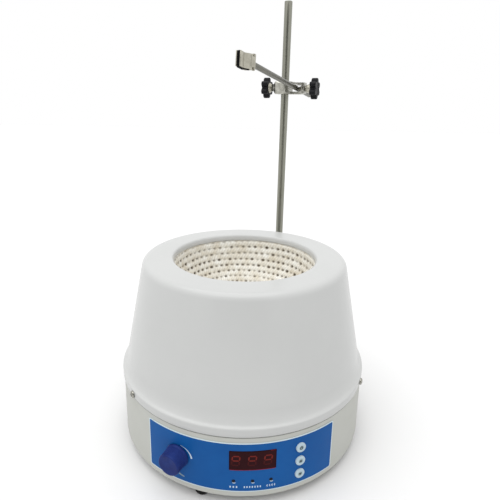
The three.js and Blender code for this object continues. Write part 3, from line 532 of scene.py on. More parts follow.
def wedge(start, end, low, high, inner, outer):
    """The space between two azimuths and two radii, as a cutter about the mantle's axis."""
    angles = [radians(start + (end - start) * i / 8) for i in range(9)]
    far = [(outer * sin(a), -outer * cos(a)) for a in angles]
    near = [(inner * sin(a), -inner * cos(a)) for a in reversed(angles)]
    return prism(near + far, low, high)


def make_base():
    corner, sheet = 2.5, 1.2
    seam_low, seam_high, seam_r = 67.0, 69.4, 136.6
    outer = [(104, 0), (base_wall_r(corner) - corner, 0)]
    outer += bezier(outer[-1], (base_wall_r(corner), 0), (base_wall_r(corner), corner), 8)
    outer += [(base_wall_r(z), z) for z in (30, 55, seam_low)]
    outer += [(seam_r, seam_low + 0.3), (seam_r, seam_high - 0.4), (BASE_TOP_R, seam_high), (BASE_TOP_R, BASE_TOP_Z)]
    inner = sideways(outer, sheet)[::-1]
    cup = lathe([*outer, *inner, outer[0]], 192)
    shell = add_object("base_cup", cup, BASE, "base", "mantle", node="base_shell")
    carve(shell, wedge(REAR_AZIMUTH - REAR_REACH, REAR_AZIMUTH + REAR_REACH, 14, 58, inner=120, outer=170))


def make_upper_shell():
    top, mouth, shoulder = 197.2, 78.0, 7.0
    cone_top, cone_low, cone_low_z = 110.9, 131.9, 94.2
    slope = (cone_low - cone_top) / (top - cone_low_z)
    outer = [(mouth, top - 6.5), (mouth, top - 5.6)]
    outer += bezier(outer[-1], (mouth + 0.3, top), (mouth + 3.2, top), 10)
    outer += [(86, top), (95, top), (cone_top - shoulder, top)]
    outer += bezier(outer[-1], (cone_top, top), (cone_top + slope * shoulder, top - shoulder), 12)
    outer += [(cone_top + slope * s, top - s) for s in (30, 60, 85)]
    outer += [(cone_low, cone_low_z)]
    # The flare, the ledge that catches the light, and the skirt over the base.
    outer += bezier(outer[-1], (133.2, 84.0), (135.7, 79.8), 12)
    outer += bezier(outer[-1], (136.4, 78.7), (137.7, 78.1), 6)
    outer += bezier(outer[-1], (138.8, 77.6), (138.8, 76.2), 6)
    outer += [(138.7, 73.0), (138.8, 69.6), (138.5, 68.7), (137.95, 68.4)]
    inner = [(137.9, 75.2), (134.9, 78.6), (131.0, 94.2), (110.2, 193.5)]
    inner += [(104, 196.3), (80, 196.3), (78.9, 195.2), (78.9, 190.7)]
    shell = lathe([*outer, *inner, outer[0]], 256)
    add_object("shell_top", shell, BASE, "shell", "mantle", node="upper_shell")


def make_feet():
    first, circle_r = -17.5, 126
    profile = [(0, -10), (5.4, -10), (6.5, -9.9)]
    profile += bezier((6.5, -9.9), (7.9, -9.6), (8.0, -8.2), 4)
    profile += [(8.7, -1.4), (8.5, -0.6), (7.6, -0.3), (3, -0.3), (3, 1.5), (4.3, 1.7), (2.6, 4.8), (0, 5)]
    for i in range(4):
        azimuth = radians(first + 90 * i)
        offset = (circle_r * MM * sin(azimuth), -circle_r * MM * cos(azimuth), 0)
        place = BASE @ Matrix.Translation(offset)
        node = f"rubber_foot_{i + 1}"
        add_object(f"foot_{i + 1}", lathe(profile, 40), place, "rubber", "mantle", node=node)


def cross_slots(start, end, reach=2.1, width=0.8):
    return [box(-x, x, -y, y, start, end) for x, y in ((reach, width / 2), (width / 2, reach))]


def make_shell_screws():
    seat, screw_z = 139.1, 72.4
    profile = [(0, 132), (2, 132), (2, seat), (3.7, seat), (3.7, seat + 0.7)]
    profile += bezier(profile[-1], (3.4, seat + 2.1), (0, seat + 2.2), 8)
    for i, azimuth in enumerate([-53.5, 66.5, 186.5]):
        place, node = wall(azimuth, screw_z), f"shell_screw_{i + 1}"
        screw = add_object(f"screw_{i + 1}", lathe(profile, 36), place, "steel", "mantle", node=node)
        carve(screw, *cross_slots(seat + 0.9, seat + 4))


# ---------- front panel ----------
def wrapped(outline_grid, inside, outside):
    """A closed sheet that follows the base wall. outline_grid is rows of (azimuth, z), all the same length."""
    rows, cols = len(outline_grid), len(outline_grid[0])
    verts = []
    for distance in (inside, outside):
        for row in outline_grid:
            for azimuth, z in row:
                a, radius = radians(azimuth), base_wall_r(z) + distance
                verts.append((radius * sin(a), -radius * cos(a), z))
    count = rows * cols
    faces = []
    for r in range(rows - 1):
        for c in range(cols - 1):
            i = r * cols + c
            faces.append((i, i + 1, i + cols + 1, i + cols))
            faces.append((count + i, count + i + cols, count + i + cols + 1, count + i + 1))
    rim = list(range(cols))
    rim += [r * cols + cols - 1 for r in range(1, rows)]
    rim += [(rows - 1) * cols + c for c in range(cols - 2, -1, -1)]
    rim += [r * cols for r in range(rows - 2, 0, -1)]
    for i, a in enumerate(rim):
        b = rim[(i + 1) % len(rim)]
        faces.append((a, a + count, b + count, b))
    return verts, faces


def wrapped_rect(start, end, low, high, inside, outside, corner):
    """A sheet on the wall between two azimuths and two heights, with rounded corners of that radius in mm."""
    degrees_per_mm = degrees(1 / base_wall_r((low + high) / 2))
    row_step, column_step = 3, 0.75
    count = max(2, int((high - low) / row_step) + 1)
    middle = [low + (high - low) * i / (count - 1) for i in range(count)]
    middle = [h for h in middle if low + corner < h < high - corner]
    near = [corner * (1 - cos(radians(a))) for a in range(0, 91, 15)]
    heights = sorted(set([low + n for n in near] + [high - n for n in near] + middle))
    cols = max(2, int((end - start) / column_step) + 1)
    rows = []
    for z in heights:
        from_edge = min(z - low, high - z)
        inset = 0.0
        if from_edge < corner:
            inset = (corner - sqrt(max(0.0, corner**2 - (corner - from_edge) ** 2))) * degrees_per_mm
        a, b = start + inset, end - inset
        rows.append([(a + (b - a) * i / (cols - 1), z) for i in range(cols)])
    return wrapped(rows, inside, outside)


def wrapped_stroke(points, widths, inside, outside):
    """A line on the wall through (x, z) points in mm along the wall, x counted from azimuth 0."""
    left, right = [], []
    for i, (x, z) in enumerate(points):
        a, b = points[max(i - 1, 0)], points[min(i + 1, len(points) - 1)]
        dx, dz = b[0] - a[0], b[1] - a[1]
        size = hypot(dx, dz)
        w = widths[i] / 2
        left.append((x - dz / size * w, z + dx / size * w))
        right.append((x + dz / size * w, z - dx / size * w))
    grid = [[(degrees(x / base_wall_r(z)), z) for x, z in side] for side in (right, left)]
    return wrapped(grid, inside, outside)


def along(azimuth, z):
    """Millimetres along the wall from azimuth 0."""
    return radians(azimuth) * base_wall_r(z)


def printed(name, part, material="ink", node=None):
    add_object(name, part, BASE, material, "mantle", node=node)


def ink_stroke(points, widths):
    return wrapped_stroke(points, widths, *INK_LAYER)


# Sheets on the wall are (first azimuth, last azimuth, lowest z, highest z).
PANEL = (-41.3, 40.3, 7.2, 62.2)
WINDOW = (-4.45, 13.15, 33.1, 53.3)
KNOB_AZIMUTH, KNOB_Z = -26.0, 36.5
BUTTON_AZIMUTH = 23.6
BUTTONS = {"set": 49.2, "up": 34.1, "down": 19.2}
LAMP_Z = 19.8
LAMPS = {"set": -3.0, "stir": 4.35, "heat": 11.6}
INK_LAYER = (0.72, 0.8)


def make_panel():
    start, end, low, high = PANEL
    edge_angle, edge = 0.5, 1.1
    sheet = wrapped_rect(start, end, low, high, 0.2, 0.6, corner=2.2)
    add_object("panel_sheet", sheet, BASE, "film_edge", "mantle", node="control_panel")
    field = wrapped_rect(start + edge_angle, end - edge_angle, low + edge, high - edge, 0.55, 0.75, corner=1.4)
    printed("panel_print", field, "panel")


def make_window():
    start, end, low, high = WINDOW
    surround = wrapped_rect(start - 0.35, end + 0.35, low - 0.6, high + 0.6, 0.7, 0.85, corner=0.8)
    printed("window_surround", surround, "display")
    sheet = wrapped_rect(start, end, low, high, 0.95, 1.25, corner=0.7)
    add_object("window_sheet", sheet, BASE, "window", "mantle", node="display_window")
    # Painted glow: red light in the sheet's lower edge, and in its upper corner, painted as bright red strips.
    bottom = [(along(start + (end - start) * i / 24, low), low - 0.1) for i in range(25)]
    printed("window_glow", wrapped_stroke(bottom, [0.7] * 25, 0.8, 1.3), "window_edge")
    top = [(along(end - 2 + 2 * i / 6, high), high + 0.1) for i in range(7)]
    printed("window_glow_top", wrapped_stroke(top, [0.3] * 7, 0.8, 1.3), "window_edge")


def make_figures():
    """Three unlit figures on the window's face, seven bars each, the lower bars dimmer."""
    bars = {"segment": [], "segment_dim": []}
    half_width, half_height, lean, middle_z, bar_width = 3.4, 5.0, 0.5, 43.4, 1.3
    for azimuth in (-2.2, 4.1, 10.2):
        x, z, w, h = along(azimuth, 44), middle_z, half_width, half_height
        tl, tr, ml, mr = (x - w + lean, z + h), (x + w + lean, z + h), (x - w, z), (x + w, z)
        bl, br = (x - w - lean, z - h), (x + w - lean, z - h)
        runs = [(tl, tr, "segment"), (ml, mr, "segment"), (tl, ml, "segment"), (tr, mr, "segment")]
        runs += [(bl, br, "segment_dim"), (ml, bl, "segment_dim"), (mr, br, "segment_dim")]
        for a, b, ink in runs:
            p, q = Vector(a), Vector(b)
            step = (q - p).normalized() * 0.5
            points = [tuple(p + step), tuple(p + 2 * step), tuple(q - 2 * step), tuple(q - step)]
            bars[ink].append(wrapped_stroke(points, [0.3, bar_width, bar_width, 0.3], 1.1, 1.28))
    printed("display_figures", together(*bars["segment"]), "segment", node="display_module")
    printed("display_figures_low", together(*bars["segment_dim"]), "segment_dim")


def key_mark(key, face):
    """A ring with a bar on the set key, and an arrowhead on the other two."""
    if key == "set":
        ring = [(1.0, face), (1.7, face), (1.7, face + 0.08), (1.0, face + 0.08), (1.0, face)]
        return together(lathe(ring, 32), box(-0.35, 0.35, 0.6, 2.3, face + 0.02, face + 0.1))
    tip = 1.6 if key == "up" else -1.6
    return prism([(-1.7, -tip * 0.6), (1.7, -tip * 0.6), (0, tip)], face, face + 0.08)


def make_buttons():
    for key, z in BUTTONS.items():
        r, place, body = base_wall_r(z), wall(BUTTON_AZIMUTH, z), f"{key}_button"
        profile = [(0, r - 8), (2, r - 8), (2, r - 4.5), (6.2, r - 4.5), (6.2, r - 2.6), (5, r - 2.6), (5, r + 1.7)]
        profile += bezier(profile[-1], (4.95, r + 2.5), (4.2, r + 2.6), 5)
        profile += [(3.2, r + 2.45), (0, r + 2.35)]
        add_object(f"key_{key}", lathe(profile, 64), place, "button", body, node=f"button_{key}")
        face = r + 2.42
        disc = lathe([(0, face - 0.1), (3.0, face - 0.1), (3.0, face), (0, face)], 40)
        add_object(f"key_disc_{key}", disc, place, "ink_grey", body)
        add_object(f"key_mark_{key}", key_mark(key, face), place, "ink_dark", body)


def make_lamps():
    r = base_wall_r(LAMP_Z)
    profile = [(0, r - 14), (2, r - 14), (2, r - 13), (1.5, r - 13), (1.5, r + 0.6)]
    profile += bezier(profile[-1], (1.5, r + 1.5), (0, r + 1.5), 6)
    ring = [(1.52, r + 0.7), (1.8, r + 0.7), (1.8, r + 0.8), (1.7, r + 0.9), (1.52, r + 0.9), (1.52, r + 0.7)]
    for key, azimuth in LAMPS.items():
        place = wall(azimuth, LAMP_Z)
        add_object(f"lamp_lens_{key}", lathe(profile, 32), place, "lens", "mantle", node=f"lamp_{key}")
        add_object(f"lamp_ring_{key}", lathe(ring, 32), place, "lamp_dark", "mantle")


def painted_lamp_highlights():
    """A painted highlight: a pale crescent in white ink on the film under each lamp."""
    arcs, radius = [], 2.3
    for azimuth in LAMPS.values():
        x = along(azimuth, LAMP_Z) + 0.5
        angles = [radians(a) for a in range(225, 316, 15)]
        points = [(x + radius * cos(a), LAMP_Z + radius * sin(a)) for a in angles]
        arcs.append(ink_stroke(points, [0.2, 0.6, 0.9, 0.9, 0.9, 0.6, 0.2]))
    printed("painted_lamp_highlights", together(*arcs), "ink")


def make_marks():
    """Generic printed signs under the lamps and round the knob: no lettering."""
    z = 13.0
    parts = []
    for key, first, step, count, width in (("set", -3, 3, 3, 1.3), ("stir", -7.5, 2.5, 7, 1.1)):
        x = along(LAMPS[key], z) + first
        parts += [ink_stroke([(x + step * i, z - 1.0), (x + step * i, z + 1.0)], [width] * 2) for i in range(count)]
    x = along(LAMPS["heat"], z)
    for i in range(4):
        wave = [(x - 3.6 + 2.4 * i + 0.35 * sin(t * 1.6), z - 1.1 + 0.37 * t) for t in range(7)]
        parts.append(ink_stroke(wave, [0.75] * 7))
    printed("lamp_signs", together(*parts))

    # The speed scale: a band that thickens clockwise round the knob, and a short bar under the knob.
    cx, cz, radius, steps = along(-25.2, 35.4), 35.4, 13.2, 24
    arc, widths = [], []
    for i in range(steps + 1):
        t = i / steps
        a = radians(84 - 76 * t)
        arc.append((cx + radius * cos(a), cz + radius * sin(a)))
        widths.append(0.25 + 1.55 * t**1.3)
    printed("speed_scale", ink_stroke(arc, widths))
    foot = [(along(-25.6, 14) + 0.55 * i, 15.2 - 0.16 * i) for i in range(12)]
    printed("speed_sign", ink_stroke(foot, [1.0, 1.5, 1.7, 1.5, 1.7, 1.5, 1.7, 1.6, 1.5, 1.4, 1.2, 0.8]), "ink_grey")


def make_knob():
    base = base_wall_r(KNOB_Z) + 1.2
    face = base + 15.2
    flutes, flute_depth = 48, 0.28
    profile = [(3.3, base), (11.9, base), (12.2, base + 0.3), (12.2, base + 1.8)]
    profile += [(11.7, base + 2.5), (11.6, base + 3.2), (11.3, face - 1.6)]
    profile += bezier(profile[-1], (11.2, face), (9.8, face), 6)
    profile += [(8.6, face - 0.12), (4, face - 0.3), (0, face - 0.35)]
    verts, faces = lathe([*profile, (0, face - 3), (3.3, face - 3), profile[0]], 240)
    shaped = []
    for x, y, z in verts:
        r = hypot(x, y)
        if r > 10.6 and base + 3.0 < z < face - 0.9:
            r2 = r - flute_depth * (0.5 + 0.5 * cos(flutes * atan2(y, x))) ** 2
            x, y = x * r2 / r, y * r2 / r
        shaped.append((x, y, z))
    place, body = wall(KNOB_AZIMUTH, KNOB_Z), "speed_knob"
    cap = (shaped, faces)
    add_object("speed_knob_cap", cap, place, "knob", body, smooth=50, node="stir_knob")
    pointer = box(-0.45, 0.45, 3.5, 8.8, face - 0.5, face - 0.02)
    add_object("speed_knob_line", pointer, place, "knob", body)


# ---------- woven well ----------
BOWL_R, BOWL_RIM_Z, BOWL_DEPTH, BOWL_WALL = 76.8, 190.0, 69.0, 6.0


def weave(around, across):
    """Height in mm of the cloth, and painted shade for its holes and the gaps between its cords. around counts
    stitches, across counts cords from the rim.
    """
    row = np.round(across)
    edge = np.exp(-(((across - row) / 0.2) ** 2))
    shift = 0.27 * row + 0.06 * np.sin(0.21 * around + row)
    cell = np.floor(around + shift)
    inside = (around + shift) % 1.0 - 0.5
    size = 0.72 + 0.4 * np.sin(cell * 12.9898 + row * 78.233) * np.sin(cell * 3.7 + row)
    size *= 0.95 + 0.35 * np.sin(0.17 * around + 0.9 * row) * np.sin(0.11 * around - 0.5 * row)
    hole = edge * np.exp(-((inside / 0.29) ** 2)) * size
    cord = np.abs(np.sin(np.pi * across)) ** 0.5
    bridge = edge * (1 - np.exp(-((inside / 0.3) ** 2)))
    ply = 0.5 + 0.5 * np.cos(2 * np.pi * (2 * around - 1.2 * across + 0.3 * np.floor(across)))
    lift = 1.1 * np.maximum(cord, 0.8 * bridge) + 0.45 * ply * cord - 1.3 * hole
    # Painted shade: darker in the holes, in the grooves between the plies, and between the cords.
    painted_shade = np.clip(1.45 * hole - 0.1, 0, 1) + 0.16 * (1 - ply) * cord + 0.12 * (1 - np.maximum(cord, bridge))
    return lift, np.clip(painted_shade, 0, 1)


def make_well():
    """Twisted cords laid round and round and stitched together, with a small hole between stitches."""
    stitches, pitch, per_stitch, per_cord = 64, 7.2, 11, 12
    t = np.radians(np.linspace(0, 90, 721))
    path = np.stack([BOWL_R * np.cos(t), BOWL_RIM_Z - BOWL_DEPTH * np.sin(t)], 1)
    run = np.concatenate([[0], np.cumsum(np.linalg.norm(np.diff(path, axis=0), axis=1))])
    cords = int(run[-1] / pitch)
    stations = np.linspace(0, run[-1] - 1.2, cords * per_cord + 1)
    radius, height = np.interp(stations, run, path[:, 0]), np.interp(stations, run, path[:, 1])
    tangent = np.gradient(np.stack([radius, height], 1), axis=0)
    tangent /= np.linalg.norm(tangent, axis=1)[:, None]
    columns, count = stitches * per_stitch, len(stations)
    around = np.arange(columns)[None, :] / per_stitch
    across = (np.arange(count) / per_cord)[:, None]
    sag = sum(0.16 / j * np.sin(2 * np.pi * j * around / stitches + 1.7 * j + 0.5 * across) for j in (1, 2, 3, 5, 8))
    lift, painted_shade = weave(around, across + sag)
    fade = np.minimum(1, np.minimum(np.arange(count) / 4, radius / 14))[:, None]
    lift, painted_shade = lift * fade - 2.3, painted_shade * fade
    angle = 2 * np.pi * np.arange(columns)[None, :] / columns
    r = np.maximum(radius[:, None] - lift * np.abs(tangent[:, 1:2]), 0.4)
    z = height[:, None] + lift * np.abs(tangent[:, 0:1])
    inner = np.stack([r * np.cos(angle), r * np.sin(angle), z], 2).reshape(-1, 3)

    # The outside of the bowl closes it.
    t = np.radians(np.linspace(0, 90, 25))[:-1, None]
    r, z = (BOWL_R + BOWL_WALL) * np.cos(t), BOWL_RIM_Z - (BOWL_DEPTH + BOWL_WALL) * np.sin(t)
    outer = np.stack([r * np.cos(angle), r * np.sin(angle), z + 0 * angle], 2).reshape(-1, 3)
    verts = [*inner, *outer, (0, 0, BOWL_RIM_Z - BOWL_DEPTH - BOWL_WALL)]

    def strip(first, second):
        pairs = [(i, (i + 1) % columns) for i in range(columns)]
        return [(first + i, first + j, second + j, second + i) for i, j in pairs]

    start = len(inner)
    faces = [face for k in range(count - 1) for face in strip(k * columns, (k + 1) * columns)]
    faces.append(tuple((count - 1) * columns + i for i in range(columns)))
    faces += strip(start, 0)
    faces += [face for k in range(23) for face in strip(start + (k + 1) * columns, start + k * columns)]
    last = start + 23 * columns
    faces += [(last + (i + 1) % columns, last + i, len(verts) - 1) for i in range(columns)]
    part = (verts, faces)
    bowl = add_object("woven_well", part, BASE, "fibre", "mantle", smooth=80, node="heating_bowl")
    # The painted shade is stored on the mesh as a point attribute, which the fibre finish mixes in.
    painted_gap_shade = np.concatenate([painted_shade.ravel(), np.zeros(len(verts) - len(inner))]).astype(np.float32)
    bowl.data.attributes.new("painted_gap_shade", "FLOAT", "POINT").data.foreach_set("value", painted_gap_shade)


# ---------- stand ----------
ROD_AZIMUTH, ROD_LOCK_Z = 162.2, 44
ARM_CLAMP_DROP = 1


def thread(radius, low, high, pitch=1.0, depth=0.32, around=24, per_pitch=6):
    """A screw thread on a plain core, with flat ends."""
    turns = (high - low) / pitch
    rows = int(turns * per_pitch) + 1
    verts = []
    for k in range(rows):
        z = low + (high - low) * k / (rows - 1)
        for i in range(around):
            phase = (z - low) / pitch - i / around
            crest = 1 - abs(2 * (phase % 1.0) - 1)
            r = radius - depth * (1 - crest) if 0 < k < rows - 1 else radius - depth
            a = 2 * pi * i / around
            verts.append((r * cos(a), r * sin(a), z))
    return verts, ring_faces(rows, around)


def star_head(low, thickness=8.0, outer=13.0, lobes=6):
    """Six rounded lobes with deep flutes between them, soft edges, and a dished face."""
    around, flute = 180, 4.2
    edge = [(0.0, 0.93), (0.2, 0.965), (0.6, 0.99), (1.2, 1.0)]
    layers = [*edge, (thickness / 2, 1.0), *[(thickness - dz, scale) for dz, scale in reversed(edge)]]
    dish = [(7.4, thickness), (6.6, thickness - 0.5), (3.0, thickness - 0.6)]
    angles = [2 * pi * i / around for i in range(around)]
    verts = []
    for dz, scale in layers:
        for a in angles:
            r = (outer - flute * (0.5 + 0.5 * cos(lobes * a)) ** 1.5) * scale
            verts.append((r * cos(a), r * sin(a), low + dz))
    verts += [(r * cos(a), r * sin(a), low + dz) for r, dz in dish for a in angles]
    return verts, ring_faces(len(layers) + len(dish), around)


def make_screw(key, place, tip, low, neck, body):
    """A star knob with its face at low, a metal collar as tall as neck, and a thread down to tip."""
    star, node = star_head(low), f"{key}_knob"
    add_object(f"{key}_star", star, place, "plastic", body, smooth=50, node=node)
    collar = [(3.2, low - neck), (4.3, low - neck), (4.6, low - neck + 0.5)]
    collar += [(6.4, low - 0.4), (6.4, low + 0.2), (3.2, low + 0.2), (3.2, low - neck)]
    add_object(f"{key}_collar", lathe(collar, 48), place, "nickel", body)
    core = thread(3.0, tip, low + 0.6)
    add_object(f"{key}_thread", core, place, "nickel", body, smooth=60, node=f"{key}_stud")


def make_rod():
    low, high, radius, spans = 22.3, 481.7, 5, 12
    place = Matrix.Translation((ROD.x, ROD.y, BASE_Z))
    profile = [(0, low), (4.4, low), (radius, low + 0.6)]
    profile += [(radius, low + (high - low) * i / spans) for i in range(1, spans)]
    profile += [(radius, high - 0.8), (4.75, high - 0.25), (4.3, high), (0, high)]
    add_object("stand_rod", lathe(profile, 72), place, "rod", "rod", node="support_rod")


def make_boss():
    """A small casting: a lug on the rod with an ear for its screw, then two bars and an end wall round the arm."""
    lug = [(-17.5, 4.6), (-16, 6.4), (-13, 7.4), (-10.5, 9.6), (-6.5, 11.4)]
    lug += [(0, 12.2), (5, 11.6), (9, 9.4), (12, 7.6)]
    bars = [(25.5, 7.0), (28, 5.6)]
    rod_hole_r, stud_hole_r = 5.3, 3.3
    outline = [(x, -y) for x, y in reversed(lug + bars)] + lug + bars
    part = prism(outline, -8.5, 7.5)
    boss = add_object("boss_casting", part, BOSS, "cast", "boss", node="boss_head")
    to_arm = BOSS.inverted() @ ARM
    to_arm.translation = to_arm.translation / MM
    slot = shifted(turned_to(prism(rounded(17, 9.6, 3.2, 8), -40, 40), to_arm), 15.9 - 17.0, 0, 0.2)
    holes = [prism(circle(0, 0, rod_hole_r, 48), -20, 20), slot]
    holes.append(turned_to(prism(circle(0, 0, stud_hole_r, 28), -30, -3), TURN_X))
    holes.append(shifted(turned_to(prism(circle(0, 0, stud_hole_r, 28), 18, 40), TURN_X), 0, 0, -1))
    # The ear is lower than the lug, and the bars thin out towards the end wall.
    side = Matrix.Rotation(radians(90), 4, "X")
    wedges = [
        [(-30, 4.4), (-13.5, 4.4), (-9.0, 9), (-30, 9)],
        [(-30, -4.4), (-30, -10), (-9.0, -10), (-13.5, -4.4)],
        [(9.5, 9), (12.5, 6.3), (40, 6.3), (40, 9)],
        [(21, -10), (25, -7.0), (40, -7.0), (40, -10)],
    ]
    carve(boss, turned_to(prism(rounded(24.8, 16, 4.6, 10), -40, 60), TURN_X), operation="INTERSECT")
    carve(boss, *holes, *[turned_to(prism(outline, -30, 30), side) for outline in wedges])
    bevel(boss, 1.0, 4, 32)


def make_arm():
    back, front, radius, spans = -58, CLIP_START, 3, 10
    profile = [(0, back), (2.4, back), (radius, back + 0.6)]
    profile += [(radius, back + 0.6 + (front + 56.8) * i / spans) for i in range(1, spans)]
    profile += [(radius, front - 0.6), (2.5, front), (0, front)]
    add_object("arm_bar", lathe(profile, 56), ARM, "arm", "arm", node="clamp_arm")


def side_plate(name, outline, span, material, body, node, width=0.3, cuts=(), joins=()):
    """A prism in the clip's frame with parts joined and cut, and softened edges."""
    obj = add_object(name, prism(outline, *span), CLIP, material, body, node=node)
    carve(obj, *joins, operation="UNION")
    carve(obj, *cuts)
    bevel(obj, width, 2, 50)


# Clip frame: X along the arm to the tips, Y to the right, Z up. The sprung jaw lies on the right.
JAW_LOW, JAW_HIGH, JAW_SHEET, BARREL_R = -7.7, 6.3, 1.0, 2.0
PAD_SPAN = (-8.9, 6.6)


def make_long_jaw(tip, y):
    """The jaw that the arm runs into, its ears for the pin, and its pad."""
    low, high, ear = JAW_LOW, JAW_HIGH, 2.0
    back = PIN_X - BARREL_R
    joins = []
    for z in (low, high - ear):
        joins.append(prism(circle(PIN_X, PIN_Y, BARREL_R, 36), z, z + ear))
        joins.append(box(back, PIN_X + BARREL_R, 2.0, PIN_Y, z, z + ear))
    arm_hole = turned_to(prism(circle(0, 0, 3.25, 36), -12, 0.3), TURN_X)
    pin_hole = prism(circle(PIN_X, PIN_Y, 1.3, 20), -20, 20)
    outline = [(back, y), (tip, y), (tip, y + JAW_SHEET), (1, y + JAW_SHEET), (1, 2.6), (back, 2.6)]
    cuts = [arm_hole, pin_hole]
    side_plate("clip_long_jaw", outline, (low, high), "nickel", "arm", "clip_fixed_jaw", joins=joins, cuts=cuts)
    inner, outer = y + JAW_SHEET + 0.3, y + JAW_SHEET + 1.3
    pad = [(3, inner), (tip - 0.4, inner), (tip - 0.4, outer), (3, outer)]
    side_plate("clip_long_pad", pad, PAD_SPAN, "rubber", "arm", "clip_fixed_pad", 0.35)


def make_short_jaw():
    """The sprung jaw, bent once towards the long one, with its barrel round the pin, and its pad."""
    start, corner, lip = (-0.85, 6.44), (6.2, 0.8), (15.2, 1.3)
    near_corner = tuple(a + (c - a) * 0.1 for a, c in zip(corner, start))
    past_corner = tuple(a + (c - a) * 0.1 for a, c in zip(corner, lip))
    turn = [near_corner, *bezier(near_corner, corner, past_corner, 4), lip]
    bend = [start, *turn]
    angle = atan2(corner[1] - start[1], corner[0] - start[0])
    seat = Matrix.Translation((*start, 0)) @ Matrix.Rotation(angle, 4, "Z")
    field = turned_to(box(1.3, 8.4, -0.25, 2.0, JAW_LOW + 1.5, JAW_HIGH - 1.5), seat)
    barrel_low, barrel_high, coil_room = -5.6, 4.2, 2.7
    joins = [
        prism([(-2.65, 7.87), (-0.3, 6.01), (-0.92, 5.23), (-3.27, 7.09)], barrel_low, barrel_high),
        prism(circle(PIN_X, PIN_Y, BARREL_R, 36), barrel_low, barrel_high),
    ]
    pin_hole = prism(circle(PIN_X, PIN_Y, 1.35, 20), -20, 20)
    cuts = [pin_hole, prism(circle(PIN_X, PIN_Y, 1.7, 28), coil_room, 20), field]
    outline = bend + sideways(bend, -JAW_SHEET)[::-1]
    span = (JAW_LOW, JAW_HIGH)
    side_plate("clip_short_jaw", outline, span, "nickel", "sprung_jaw", "clip_moving_jaw", 0.25, cuts, joins)
    run = [tuple(a + (c - a) * 0.25 for a, c in zip(start, corner)), *turn]
    strip = sideways(run, -JAW_SHEET - 0.3) + sideways(run, -JAW_SHEET - 1.2)[::-1]
    side_plate("clip_short_pad", strip, PAD_SPAN, "rubber", "sprung_jaw", "clip_moving_pad")


def make_pin():
    """The rivet through the ears, and the coil spring round it."""
    low, high = JAW_LOW, JAW_HIGH
    place = CLIP @ Matrix.Translation((PIN_X * MM, PIN_Y * MM, 0))
    pin = [(0, low - 0.8), (1.1, low - 0.7), (1.6, low - 0.3), (1.6, low), (1.0, low), (1.0, high), (1.6, high)]
    pin += [(1.6, high + 0.3), (1.1, high + 0.7), (0, high + 0.8)]
    add_object("clip_rivet", lathe(pin, 28), place, "nickel", "arm", node="clip_pin")
    coil = []
    turns, around, ring, wire, coil_r, coil_low, coil_rise = 3, 20, 8, 0.17, 1.45, 2.95, 0.9
    for k in range(turns * around + 1):
        t = k / around
        a = 2 * pi * t
        for i in range(ring):
            b = 2 * pi * i / ring
            r = coil_r + wire * cos(b)
            coil.append((r * cos(a), r * sin(a), coil_low + coil_rise * t / turns + wire * sin(b)))
    part = (coil, ring_faces(turns * around + 1, ring))
    add_object("clip_coil", part, place, "steel", "arm", smooth=60, node="clip_spring")


def make_bracket():
    """The block that holds the rod: rounded round the rod, hollowed to the wall."""
    half, ring, foot = 13.0, 163.0, 133.0
    angles = [radians(a) for a in range(0, 181, 6)]
    outline = [(-half, foot), *[(half * cos(a) * -1, ring + half * sin(a)) for a in angles], (half, foot)]
    a = radians(ROD_AZIMUTH)
    out, right = Vector((sin(a), -cos(a), 0)), Vector((cos(a), sin(a), 0))
    place = basis(right, out, (0, 0, -1), (CENTRE.x, CENTRE.y, BASE_Z))
    part = prism(outline, -58, -16)
    block = add_object("rod_block", part, place, "aluminium", "mantle", node="rod_bracket")
    pin = Matrix(((1, 0, 0, 0), (0, 0, 1, 0), (0, -1, 0, 0), (0, 0, 0, 1)))
    carve(
        block,
        prism(circle(0, 0, 139.3, 256), -90, 0),
        prism(circle(0, ring, 5.3, 48), -90, -22.0),
        shifted(turned_to(prism(circle(0, 0, 3.3, 28), ring, 200), pin), 0, 0, -ROD_LOCK_Z),
    )
    bevel(block, 1.0, 3, 40)


# ---------- rear connections ----------
INLET_X, SWITCH_X, SOCKET_X = -28, 1.5, 39.5


def rear_at(x):
    return REAR @ Matrix.Translation((x * MM, 0, 0))


def make_rear_tray():
    """A shallow tray: a flat plate with a shelf above and below that meets the round wall."""
    plate_r, width, half = 127.0, 49.8, 21.7
    arc = []
    for i in range(25):
        x = -width + 2 * width * i / 24
        arc.append((x, max(sqrt((BASE_TOP_R + 0.4) ** 2 - x * x) - plate_r, 0.4)))
    plate = box(-width, width, -half, half, -2, 0)
    tray = add_object("rear_tray", plate, REAR, "base", "mantle", node="rear_panel")
    # prism's Y runs to the rear frame's Z, and its Z to the frame's -Y
    shelf_turn = Matrix(((1, 0, 0, 0), (0, 0, -1, 0), (0, 1, 0, 0), (0, 0, 0, 1)))
    shelf = turned_to(prism([(width, -1), (-width, -1)] + arc, -0.6, 0.6), shelf_turn)
    carve(tray, shifted(shelf, 0, half - 0.6, 0), shifted(shelf, 0, 0.6 - half, 0), operation="UNION")
    carve(
        tray,
        box(INLET_X - 14, INLET_X + 14, -10.4, 10.4, -5, 5),
        box(SWITCH_X - 7, SWITCH_X + 7, -10.4, 10.4, -5, 5),
        prism(circle(FUSE_X, 0, 6.4, 40), -5, 5),
        prism(circle(SOCKET_X, 0, 7, 40), -5, 5),
    )


def make_inlet():
    place = rear_at(INLET_X)
    flange = prism(rounded(31, 25, 3), 0.3, 3)
    inlet = add_object("inlet_shell", flange, place, "plastic", "mantle", node="power_inlet")
    carve(inlet, box(-13.6, 13.6, -10, 10, -20, 2), operation="UNION")
    mouth = [(-12, -8), (12, -8), (12, 4.6), (8.4, 8), (-8.4, 8), (-12, 4.6)]
    carve(inlet, prism(mouth, -14, 5))
    bevel(inlet, 0.5, 3, 40)
    pins = [box(x - 2, x + 2, -1 if x else -3.5, 1 if x else -1.5, -15, -3) for x in (-7, 0, 7)]
    bevel(add_object("inlet_pins", together(*pins), place, "nickel", "mantle"), 0.35, 2)


